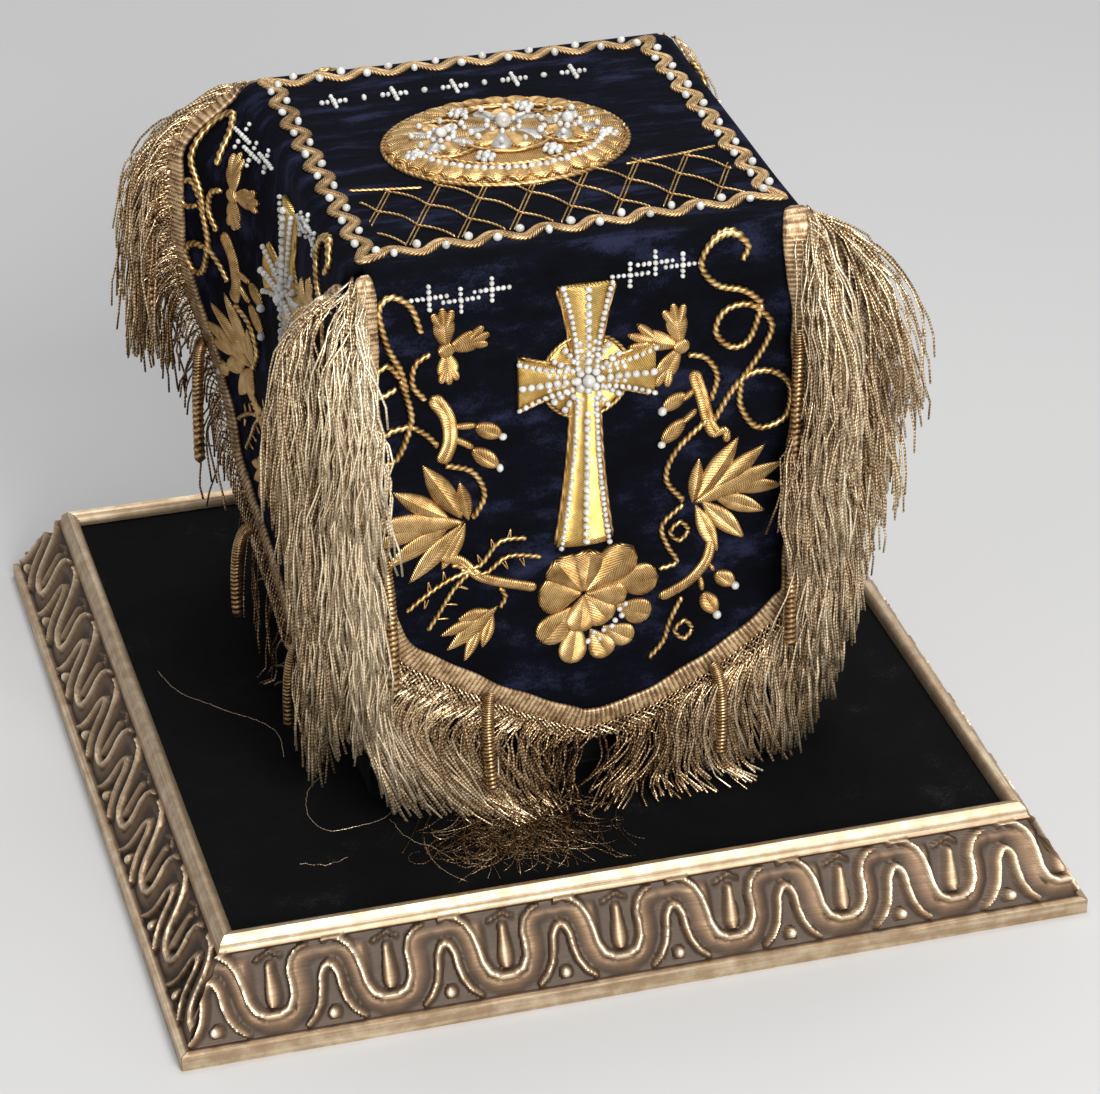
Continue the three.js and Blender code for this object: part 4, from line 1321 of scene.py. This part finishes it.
def sew_cord(bm, lay, line, radius, ply_length=2.3, foot=0.75):
    """A two-ply twisted cord couched along a line; lay(a, b, lift) puts a point on the cloth."""
    run, aside = line_frame(line)
    rows = len(line) - 1

    def ply(i, j):
        return np.cos(2 * (2 * math.pi * i / CORD_SIDES - math.pi * run[j] / ply_length))

    def place(i, j):
        angle = 2 * math.pi * i / CORD_SIDES
        around = radius * (0.84 + 0.16 * ply(i, j)) * np.where((j == 0) | (j == rows), 0.0, 1.0)
        spot = line[j] + aside[j] * (np.cos(angle) * around)[:, None]
        return lay(spot[:, 0], spot[:, 1], foot + 0.75 * radius + np.sin(angle) * around)

    # Marks the grooves between the plies for painted shade.
    add_patch(bm, CORD_SIDES, rows, place, None, {"coil": lambda i, j: ply(i, j) * 0.5 + 0.5})


twisted_cord = coil_finish(
    "twisted_cord",
    0.88,
    0.36,
    (260.0, 4.0, 0.62),
    [
        (0.38, (0.085, 0.038, 0.012)),
        (0.68, (0.42, 0.235, 0.075)),
        (1.0, (0.86, 0.62, 0.29)),
    ],
)


def off_medallion(line):
    """The points of a line that stay clear of the medallion and inside the braid."""
    a = (line[:, 0] - MEDALLION_MIDDLE[0]) / (MEDALLION_HALF[0] - 0.5)
    b = (line[:, 1] - MEDALLION_MIDDLE[1]) / (MEDALLION_HALF[1] - 0.5)
    free = (a**2 + b**2 > 1) & (np.abs(line[:, 0]) < LATTICE_HALF) & (line[:, 1] < LATTICE_BACK)
    free &= line[:, 1] > LATTICE_FRONT + LATTICE_SLANT * (line[:, 0] + LATTICE_HALF)
    return line[free]


bm = bmesh.new()
lattice_rise = np.linspace(0, LATTICE_BACK - LATTICE_FRONT, 90)
lattice_arch = ARCH_RISE * np.abs(np.sin(math.pi * lattice_rise / LATTICE_ROW))
for number in range(LATTICE_LINES):
    foot = LATTICE_FIRST + LATTICE_PITCH * number
    for aside in (-0.7, 0.7):
        across = foot + aside + STRAIGHT_LEAN * lattice_rise
        straight = off_medallion(np.stack([across, LATTICE_FRONT + lattice_rise], 1))
        if len(straight) > SHORTEST_CORD:
            sew_cord(bm, lie_on_top, straight, 0.32, 1.2)
    across = foot + ARCHED_LEAN * lattice_rise + 0.75 * lattice_arch
    arched = off_medallion(np.stack([across, LATTICE_FRONT + lattice_rise + 0.6 * lattice_arch], 1))
    if len(arched) > SHORTEST_CORD:
        sew_cord(bm, lie_on_top, arched, 0.48, 1.6, 1.0)
for border in LATTICE_BORDERS:
    sew_cord(bm, lie_on_top, draw_line(border, 0.6), 0.5, 1.8)
close_patches(bm)
set_piece("lattice_cords", bm, twisted_cord)

# ---- Medallion
# A stuffed oval on the top, covered in laid gold thread, edged with a cord and pearls, and worked with
# three rosettes whose petals are gold and pale silver thread.

MEDALLION_HEIGHT = 3.6
MEDALLION_ROWS = 44
PAD_FOOT = 0.7
EDGE_PETALS = 30
PAD_RING = [(-math.cos(angle), math.sin(angle) ** 0.8) for angle in np.linspace(0.0, math.pi, 9)]
PAD_RING = np.array(PAD_RING + [(0.5, 0.0), (-0.5, 0.0)])
PAD_RING[[0, 8], 1] = 0.0
ROSETTES = [  # across, back, radius, petals, first petal's angle
    (-25.0, 3.0, 12.0, 8, 10),
    (-4.0, 5.0, 16.0, 10, 0),
    (17.0, 3.0, 12.0, 8, 20),
]
PEARL_FLOWERS = [(-15, -14), (7, -14), (-15, 19), (7, 19), (-36, -6), (28, -6)]


def sew_padding(bm, lay, line, half_width, height, foot=PAD_FOOT):
    """A stuffed shape along a line, closed below, with its half widths and heights in mm."""
    run, aside = line_frame(line)
    half_width, height = np.broadcast_arrays(half_width, height, run)[:2]

    def place(i, j):
        across, raised = PAD_RING[i % len(PAD_RING)].T
        spot = line[j] + aside[j] * (across * half_width[j])[:, None]
        return lay(spot[:, 0], spot[:, 1], foot + raised * height[j])

    def chart(i, j):
        return PAD_RING[i % len(PAD_RING)][:, 0] * half_width[j], run[j]

    add_patch(bm, len(PAD_RING), len(line) - 1, place, chart)


def sew_petal(bm, lay, base, tip, half_width, height, fullest=0.6, bluntness=0.6, rows=12):
    """A petal or lobe from base to tip, widest at its fullest share; a bluntness of 1 is pointed."""
    share = np.linspace(0, 1, rows + 1)
    line = np.array(base) + (np.array(tip, float) - np.array(base)) * share[:, None]
    bulge = np.log(0.5) / np.log(fullest)
    outline = np.sin(math.pi * share**bulge) ** bluntness
    outline[[0, -1]] = 0.0
    sew_padding(bm, lay, line, half_width * outline, height * np.sqrt(outline))


def laid_finish(name, low, middle, high, rough):
    """Thread laid side by side over padding, in three tones from dark to bright, the dark partly
    painted shade between the threads.
    """
    return stripe_finish(name, [(0.3, low), (0.6, middle), (0.95, high)], rough, 9.5, 0.55, 0.6)


laid_gold = laid_finish(
    "laid_gold", (0.135, 0.062, 0.016), (0.45, 0.25, 0.078), (0.86, 0.59, 0.27), 0.36
)
bright_gold = laid_finish(
    "bright_gold", (0.20, 0.095, 0.014), (0.62, 0.36, 0.075), (0.95, 0.68, 0.26), 0.28
)
pale_silver = laid_finish(
    "pale_silver", (0.24, 0.21, 0.18), (0.50, 0.47, 0.43), (0.80, 0.78, 0.74), 0.4
)


def on_medallion(a, b, lift):
    """Points on the medallion's domed face."""
    middle = ((a - MEDALLION_MIDDLE[0]) / MEDALLION_HALF[0]) ** 2
    middle = np.clip(1 - middle - ((b - MEDALLION_MIDDLE[1]) / MEDALLION_HALF[1]) ** 2, 0, 1)
    return lie_on_top(a, b, lift + MEDALLION_HEIGHT * middle**0.35)


def sew_rosettes(bm, first_petal, half_width, height):
    """Every second petal of the three rosettes; the half width is a share of the rosette's radius."""
    for across, back, radius, petals, first in ROSETTES:
        for petal in range(first_petal, petals, 2):
            angle = math.radians(first + 360 * petal / petals)
            tip = (across + radius * math.cos(angle), back + radius * math.sin(angle))
            sew_petal(bm, on_medallion, (across, back), tip, radius * half_width, height, 0.62)


bm = bmesh.new()
share = np.linspace(-1, 1, MEDALLION_ROWS + 1)
line = np.stack([MEDALLION_MIDDLE[0] + share * MEDALLION_HALF[0], 0 * share + MEDALLION_MIDDLE[1]], 1)
outline = np.sqrt(np.clip(1 - share**2, 0, 1))
outline = outline * (1 + 0.03 * np.cos(share * 3 * math.pi))
sew_padding(bm, lie_on_top, line, MEDALLION_HALF[1] * outline, MEDALLION_HEIGHT * np.sqrt(outline))
for edge_petal in range(EDGE_PETALS):
    angle = 2 * math.pi * edge_petal / EDGE_PETALS
    way = np.array([MEDALLION_HALF[0] * math.cos(angle), MEDALLION_HALF[1] * math.sin(angle)])
    base, tip = MEDALLION_MIDDLE + way * 0.66, MEDALLION_MIDDLE + way * 0.985
    sew_petal(bm, on_medallion, base, tip, 3.9, 1.5, 0.64)
sew_rosettes(bm, 0, 0.3, 1.6)
close_patches(bm)
set_piece("medallion_gold", bm, laid_gold, ["top_medallion"])
bm = bmesh.new()
sew_rosettes(bm, 1, 0.24, 1.3)
close_patches(bm)
set_piece("medallion_silver", bm, pale_silver)
bm = bmesh.new()
around = np.linspace(0, 2 * math.pi, 240)
circle = np.stack([np.cos(around), np.sin(around)], 1)
edge = circle * MEDALLION_HALF
sew_cord(bm, lie_on_top, MEDALLION_MIDDLE + edge, 0.9)
sew_cord(bm, on_medallion, MEDALLION_MIDDLE + edge * 0.7, 0.7)
for across, back, radius, _, _ in ROSETTES:
    sew_cord(bm, on_medallion, np.array((across, back)) + circle[::4] * (radius + 1.0), 0.7)
close_patches(bm)
set_piece("medallion_cords", bm, twisted_cord)


def pearl_row(lay, line, radius, gap=1.08, sunk=0.8):
    """Pearls strung along a line: rows of x, y, z and radius, in mm."""
    run, _ = line_frame(line)
    count = max(1, int(run[-1] / (2 * radius * gap)))
    places = np.linspace(0, run[-1], count + 1)
    a, b = (np.interp(places, run, line[:, k]) for k in (0, 1))
    return np.concatenate([lay(a, b, PEARL_FOOT + radius * sunk), np.full((count + 1, 1), radius)], 1)


def pearl_ring(lay, middle, radius, count, size, lift=0.0, first=0.0):
    """Pearls in a ring about a middle, or one pearl on it where the count is one."""
    angle = first + 2 * math.pi * np.arange(count) / count
    a, b = middle[0] + radius * np.cos(angle), middle[1] + radius * np.sin(angle)
    return np.concatenate([lay(a, b, PEARL_FOOT + lift + size * 0.8), np.full((count, 1), size)], 1)


pearls = [pearl_row(on_medallion, MEDALLION_MIDDLE + edge[132:228] * 0.8, 1.15)]
for across, back, radius, petals, first in ROSETTES:
    pearls.append(pearl_ring(on_medallion, (across, back), 0.01, 1, radius * 0.16, 1.0))
    pearls.append(pearl_ring(on_medallion, (across, back), radius * 0.34, 10, 1.0, 0.9))
    pearls.append(pearl_ring(on_medallion, (across, back), radius * 0.8, petals, 1.05, 1.3, first))
for middle in PEARL_FLOWERS:
    pearls.append(pearl_ring(on_medallion, middle, 2.4, 6, 1.05))
    pearls.append(pearl_ring(on_medallion, middle, 0.01, 1, 1.5))
for number, across in enumerate(np.linspace(-50, 32, 9)):
    back = 46.0 + 0.02 * across
    if number % 2 == 0:
        pearls.append(pearl_ring(lie_on_top, (across, back), 2.1, 4, 0.85))
        pearls.append(pearl_ring(lie_on_top, (across, back), 3.9, 4, 0.85))
    pearls.append(pearl_ring(lie_on_top, (across, back), 0.01, 1, 1.0))
sew_pearls("top_pearls", np.concatenate(pearls), 8)

# ---- Flap embroidery
# Each flap is worked through the velvet in gold thread laid over padding, with couched cords and sewn
# pearls: a cross in a round glory, a rose below it, and scrolls, leaves, thorns and buds on both sides.

CROSS_MIDDLE = np.array([0.0, 46.0])
CROSS_ARMS = [(0.0, 14.0), (-22.0, 46.0), (22.0, 46.0), (0.0, 106.0)]
CROSS_WAIST = 4.6
CROSS_FLARE = 9.6
CROSS_HEIGHT = 2.8
CROSS_SIDE_INSET = 1.6
GLORY_RADIUS = 14.0
GLORY_HEIGHT = 1.1
GLORY_ROWS = 22
GLORY_RAYS = 16
RAY_ENDS = (7.5, 12.6)
ROSE_MIDDLE = np.array([0.0, 125.0])
ROSE_PETALS = [  # base and tip from the rose's middle, half width, padding
    (-3.0, 4.0, -14.5, 16.5, 5.6, 1.7),
    (-2.0, 9.0, -4.5, 26.0, 4.9, 1.7),
    (2.0, 13.0, 8.5, 25.0, 4.7, 1.6),
    (6.0, 13.0, 17.0, 20.0, 4.4, 1.6),
    (10.0, 6.0, 23.0, 11.5, 4.9, 1.6),
    (8.0, -2.0, 25.5, -2.0, 6.0, 1.8),
    (0.0, 0.0, -9.5, -14.0, 6.8, 2.2),
    (0.0, 0.0, 2.0, -16.0, 6.6, 2.3),
    (0.0, 0.0, 17.0, -14.5, 7.0, 2.4),
    (0.0, 0.0, -15.5, -1.0, 6.8, 2.2),
    (0.0, 0.0, 15.0, 2.5, 4.6, 2.6),
    (0.0, 0.0, 8.5, 11.5, 5.8, 2.5),
    (0.0, 0.0, -2.0, 14.0, 5.4, 2.6),
]
ROSE_PEARLS = [  # from the rose's middle
    (1.3, 17.5), (5.0, 17.0), (3.1, 14.6), (6.6, 14.2), (9.3, 13.4),
    (10.4, 11.4), (12.6, 10.0), (11.9, 7.5), (13.9, 6.0),
]
CORDS = [  # radius, then the points of each couched cord
    (1.25, [(50, 13), (52, 8), (47, 4), (40, 6), (37, 13), (42, 20), (51, 23), (57, 28)]),
    (1.25, [(57, 28), (53, 40), (47, 42), (42, 36), (45, 29), (53, 28), (60, 35), (58, 43), (51, 54)]),
    (1.25, [(51, 54), (51, 64), (57, 72), (66, 69), (67, 58), (60, 52), (51, 54), (42, 68)]),
    (1.15, [(33, 43), (39, 45), (43, 52), (41, 61)]),
    (1.15, [(40, 67), (30, 77), (27, 87), (33, 96)]),
    (1.05, [(33, 97), (26, 104), (28, 112), (31, 118), (25, 120)]),
    (0.95, [(35.2, 107), (32, 103.6), (28.8, 107), (32, 110.4), (35.2, 107)]),
    (1.05, [(33, 131), (29, 140), (27, 147), (22, 153)]),
    (0.95, [(37, 144), (34, 140.6), (30.8, 144), (34, 147.4), (37, 144)]),
    (1.25, [(-53, 23), (-56, 14), (-62, 10), (-66, 14), (-64, 25), (-60, 34), (-58, 42)]),
    (1.15, [(-60, 37), (-64, 32), (-68, 35), (-67, 42), (-61, 40)]),
    (1.25, [(-60, 37), (-57, 48), (-57, 54), (-61, 64), (-66, 66), (-68, 60), (-64, 55), (-57, 54)]),
    (1.1, [(-57, 54), (-52, 58), (-48, 63)]),
    (1.15, [(-50, 30), (-55, 33), (-56, 40), (-52, 46)]),
    (1.15, [(-46, 70), (-37, 74), (-33, 83), (-37, 91)]),
    (0.95, [(-44, 107), (-35, 109), (-28, 101), (-19, 101)]),
    (0.95, [(-41, 109), (-33, 112), (-25, 107), (-14, 109)]),
    (0.95, [(-38, 110), (-46, 113), (-54, 118), (-59, 122)]),
    (0.95, [(-38, 111), (-43, 116), (-48, 124), (-52, 130)]),
    (0.95, [(-28, 118), (-26, 122), (-28, 126)]),
]
STEMS = [  # half width, then the points of each padded stem
    (2.3, [(35, 49), (38, 58), (41, 69), (44, 74)]),
    (1.5, [(41, 74), (46, 72), (47, 77)]),
    (1.2, [(31, 60), (36, 56)]),
    (1.2, [(31, 68), (37, 63)]),
    (1.9, [(43, 111), (41, 119), (35, 126), (25, 131)]),
    (1.0, [(42, 120), (44, 124)]),
    (1.0, [(39, 124), (40, 131)]),
    (2.6, [(-50, 45), (-45, 53), (-44, 62), (-47, 70)]),
    (1.2, [(-43, 57), (-35, 58)]),
    (1.2, [(-43, 61), (-36, 66)]),
    (1.8, [(-48, 104), (-41, 106), (-33, 114), (-15, 121)]),
    (1.0, [(-60, 101), (-64, 104)]),
]
LEAVES = [  # base and tip of each lobe, half width
    (36, 98, 38, 81, 2.6), (37, 97, 51, 75, 3.9), (42, 94, 60, 79, 3.3), (36, 98, 67, 86, 4.0),
    (46, 93, 67, 95, 3.0), (42, 95, 61, 104, 3.3), (39, 97, 54, 113, 3.5), (37, 98, 45, 117, 3.0),
    (-38, 92, -41, 77, 2.6), (-40, 91, -53, 69, 3.9), (-44, 90, -63, 77, 3.4), (-39, 92, -72, 88, 4.2),
    (-48, 90, -72, 97, 3.0), (-43, 91, -66, 105, 3.4), (-40, 92, -58, 112, 3.5),
    (-39, 92, -47, 109, 2.8), (-28, 125, -46, 139, 3.0), (-31, 126, -42, 128, 2.3),
    (-34, 128, -48, 133, 2.1), (-30, 127, -34, 140, 2.3), (-34, 130, -40, 144, 2.1),
]
FLOWERS = [  # middle, then the tips of its petals
    ((31, 40), [(28, 25), (14, 34), (23, 53)]),
    ((-45, 30), [(-46, 16), (-31, 27), (-44, 42)]),
]
BUDS = [  # base, tip with its pearl, half width
    (33, 57, 25, 62, 2.8), (33, 66, 25, 74, 2.9), (44, 124, 51, 130, 3.1), (40, 131, 45, 140, 3.2),
    (-36, 58, -27, 63, 3.0), (-37, 66, -28, 74, 3.0), (-63, 103, -70, 108, 3.0),
]
THORNS = [  # foot and the way it stands
    (-30, 103, -1, -4), (-25, 101, 0.5, -4.5), (-34, 108, -1.5, -4), (-27, 108, 2, 4),
    (-21, 108, 1.5, 4), (-46, 113, -0.5, -4.5), (-51, 116, -0.5, -4.5), (-42, 115, 4, 2),
    (-46, 121, 4.5, 1), (-49, 126, 4.5, 0.5), (-52, 118, -1, 4),
]
PEARL_CROSSES = [(-50, 12), (-40, 14), (-30, 12), (14, 13), (22, 10), (31, 12)]
LEAF_PADDING = 1.5
BUD_PADDING = 1.8


def cross_edge(tip, side):
    """One long edge of a cross arm, from the middle out, a little in from its side."""
    share = np.linspace(0.12, 1, 20)
    way = np.array(tip) - CROSS_MIDDLE
    aside = np.array([-way[1], way[0]]) / np.linalg.norm(way)
    out = side * (arm_width(share) - CROSS_SIDE_INSET)
    return CROSS_MIDDLE + way * share[:, None] + aside * out[:, None]


def arm_width(share):
    return CROSS_WAIST + (CROSS_FLARE - CROSS_WAIST) * share**2


for number, flap in enumerate(FLAPS):
    def on_flap(t, drop, lift):
        return hang(flap, t, drop, lift)

    def on_pad(t, drop, lift):
        return hang(flap, t, drop, np.asarray(lift) + CROSS_HEIGHT * 0.85)

    gold = bmesh.new()
    share = np.linspace(-1, 1, GLORY_ROWS + 1)
    disc = np.stack([0 * share, CROSS_MIDDLE[1] + share * GLORY_RADIUS], 1)
    outline = np.sqrt(np.clip(1 - share**2, 0, 1))
    sew_padding(gold, on_flap, disc, GLORY_RADIUS * outline, GLORY_HEIGHT * outline)
    for tip in CROSS_ARMS:
        share = np.concatenate([[0, 0.01], np.linspace(0.08, 1, 24), [1.0]])
        way = np.array(tip) - CROSS_MIDDLE
        line = CROSS_MIDDLE + way * share[:, None]
        line[-1] += way * 1e-4
        width = arm_width(share)
        width[[0, -1]] = 0.0
        height = np.full(len(share), CROSS_HEIGHT)
        height[[0, -1]] = 0.2
        sew_padding(gold, on_flap, line, width, height)
    close_patches(gold)
    set_piece(f"cross_gold_{flap}", gold, bright_gold, [f"cross_{flap}"])

    work = bmesh.new()
    for base_t, base_drop, tip_t, tip_drop, half_width, padding in ROSE_PETALS:
        base, tip = ROSE_MIDDLE + (base_t, base_drop), ROSE_MIDDLE + (tip_t, tip_drop)
        sew_petal(work, on_flap, base, tip, half_width, padding, 0.66)
    for base_t, base_drop, tip_t, tip_drop, half_width in LEAVES:
        base, tip = (base_t, base_drop), (tip_t, tip_drop)
        sew_petal(work, on_flap, base, tip, half_width, LEAF_PADDING, 0.5, 1.0)
    for middle, tips in FLOWERS:
        first, last = (middle[0] - 3, middle[1]), (middle[0] + 3, middle[1])
        sew_petal(work, on_flap, first, last, 2.8, BUD_PADDING, 0.5)
        for tip in tips:
            way = np.array(tip, float) - middle
            aside = np.array([-way[1], way[0]])
            sew_petal(work, on_flap, middle, middle + way * 0.86, 3.7, 1.2, 0.62)
            for spread in (-0.24, 0.0, 0.24):
                end = middle + way * (1.04 - 0.4 * abs(spread)) + aside * spread
                sew_petal(work, on_flap, middle + way * 0.4, end, 1.6, 1.4, 0.62)
    for base_t, base_drop, tip_t, tip_drop, half_width in BUDS:
        base, tip = (base_t, base_drop), (tip_t, tip_drop)
        sew_petal(work, on_flap, base, tip, half_width, BUD_PADDING, 0.5)
    for half_width, points in STEMS:
        line = draw_line(points, 1.2)
        width = np.full(len(line), half_width)
        width[[0, -1]] = 0.0
        width[[1, -2]] *= 0.8
        sew_padding(work, on_flap, line, width, LEAF_PADDING * width / half_width)
    close_patches(work)
    set_piece(
        f"gold_work_{flap}",
        work,
        laid_gold,
        [f"rosette_{flap}", f"leaf_first_{flap}", f"leaf_last_{flap}"],
    )

    cords = bmesh.new()
    for radius, points in CORDS:
        sew_cord(cords, on_flap, draw_line(points, 0.55), radius)
    for tip in CROSS_ARMS:
        for side in (-1, 1):
            edge = cross_edge(tip, side)
            _, aside = line_frame(edge)
            sew_cord(cords, on_flap, edge + aside * side * 1.7, 0.75, 1.8)
    around = np.linspace(0, 2 * math.pi, 150)
    ring = np.stack([np.cos(around), np.sin(around)], 1) * (GLORY_RADIUS + 0.4)
    sew_cord(cords, on_flap, CROSS_MIDDLE + ring, 0.75, 1.8)
    for foot_t, foot_drop, way_t, way_drop in THORNS:
        for spread in (-0.7, 0.7):
            tip = (foot_t + way_t, foot_drop + way_drop)
            start = (foot_t + spread, foot_drop)
            sew_cord(cords, on_flap, draw_line([start, tip], 0.8), 0.3, 1.0, 1.4)
    close_patches(cords)
    set_piece(f"couched_cords_{flap}", cords, twisted_cord)

    pearls = []
    for tip in CROSS_ARMS:
        way = np.array(tip) - CROSS_MIDDLE
        line = np.stack([CROSS_MIDDLE + way * share for share in (0.2, 0.97)])
        pearls.append(pearl_row(on_pad, line, 1.2))
        for side in (-1, 1):
            pearls.append(pearl_row(on_pad, cross_edge(tip, side), 0.9, 1.12, 0.2))
    pearls.append(pearl_ring(on_pad, CROSS_MIDDLE, 3.6, 8, 1.35))
    pearls.append(pearl_ring(on_pad, CROSS_MIDDLE, 0.01, 1, 2.2))
    for ray in range(GLORY_RAYS):
        angle = 2 * math.pi * (ray + 0.5) / GLORY_RAYS
        way = np.array([math.cos(angle), math.sin(angle)])
        line = CROSS_MIDDLE + np.stack([way * end for end in RAY_ENDS])
        pearls.append(pearl_row(on_flap, line, 1.1, 1.1, 1.6))
    spots = ROSE_MIDDLE + np.array(ROSE_PEARLS)
    sizes = np.full((len(spots), 1), 0.95)
    pearls.append(np.concatenate([on_flap(spots[:, 0], spots[:, 1], 1.6), sizes], 1))
    for _, _, tip_t, tip_drop, _ in BUDS:
        pearls.append(pearl_ring(on_flap, (tip_t, tip_drop), 0.01, 1, 1.35))
    for middle in PEARL_CROSSES:
        pearls.append(pearl_ring(on_flap, middle, 2.0, 4, 0.8))
        pearls.append(pearl_ring(on_flap, middle, 3.7, 4, 0.8))
        pearls.append(pearl_ring(on_flap, middle, 0.01, 1, 0.95))
        pearls.append(pearl_ring(on_flap, middle, 5.6, 2, 0.75))
    sew_pearls(f"flap_pearls_{flap}", np.concatenate(pearls), 40 + number)

# ---- Stage, light and camera
# No part of the object: a plain pale floor, three soft studio lights and a camera at the photograph's
# viewing angle, above the front and a little to its left.

stage_finish = start_finish("stage_finish", {"Roughness": 0.7, "Specular IOR Level": 0.2})
stage_place = add_node(stage_finish, "ShaderNodeTexCoord").outputs["Object"]
stage_colour = add_ramp(
    stage_finish,
    add_noise(stage_finish, stage_place, 2.0),
    [(0.0, (0.465, 0.46, 0.452)), (1.0, (0.495, 0.49, 0.482))],
)
set_shader(stage_finish, {"Base Color": stage_colour})
bm = bmesh.new()
bmesh.ops.create_grid(bm, x_segments=2, y_segments=2, size=4.0)
mesh = bpy.data.meshes.new("pale_floor")
bm.to_mesh(mesh)
bm.free()
mesh.materials.append(stage_finish)
floor = bpy.data.objects.new("pale_floor", mesh)
bpy.context.scene.collection.objects.link(floor)

world = bpy.data.worlds.new("studio")
bpy.context.scene.world = world
world.use_nodes = True
studio = world.node_tree.nodes["Background"].inputs
studio["Color"].default_value = (0.92, 0.95, 1.0, 1.0)
studio["Strength"].default_value = 0.42
bpy.context.scene.view_settings.view_transform = "Standard"

LIGHTS = {  # place, size, power
    "key": ((0.35, -1.45, 1.25), 0.6, 24.0),
    "fill": ((-0.1, -1.6, 0.8), 0.6, 19.0),
    "top": ((0.1, 0.5, 1.6), 1.0, 16.0),
}
LIT_POINT = Vector((0.0, 0.0, 0.12))
for light, (place, size, power) in LIGHTS.items():
    lamp = bpy.data.lights.new(light, "AREA")
    lamp.size = size
    lamp.energy = power
    stand = bpy.data.objects.new(light, lamp)
    stand.location = place
    aim = LIT_POINT - Vector(place)
    stand.rotation_euler = aim.to_track_quat("-Z", "Y").to_euler()
    bpy.context.scene.collection.objects.link(stand)

CAMERA_PLACE = Vector((-0.3212, -1.1137, 0.7841))
CAMERA_AZIMUTH = math.radians(16.63)
CAMERA_ELEVATION = math.radians(31.40)
CAMERA_ROLL = math.radians(0.496)
SENSOR_WIDTH = 36.0
FOCAL_PIXELS = 4000.9
PHOTO_WIDTH = 1100
look = Vector(
    (
        math.sin(CAMERA_AZIMUTH) * math.cos(CAMERA_ELEVATION),
        math.cos(CAMERA_AZIMUTH) * math.cos(CAMERA_ELEVATION),
        -math.sin(CAMERA_ELEVATION),
    )
)
level_right = look.cross(Vector((0, 0, 1))).normalized()
level_up = level_right.cross(look)
right = math.cos(CAMERA_ROLL) * level_right + math.sin(CAMERA_ROLL) * level_up
upward = -math.sin(CAMERA_ROLL) * level_right + math.cos(CAMERA_ROLL) * level_up
camera_data = bpy.data.cameras.new("camera")
camera_data.sensor_width = SENSOR_WIDTH
camera_data.lens = SENSOR_WIDTH * FOCAL_PIXELS / PHOTO_WIDTH
camera = bpy.data.objects.new("camera", camera_data)
camera_turn = Matrix((right, upward, -look)).transposed().to_4x4()
camera.matrix_world = Matrix.Translation(CAMERA_PLACE) @ camera_turn
bpy.context.scene.collection.objects.link(camera)
bpy.context.scene.camera = camera
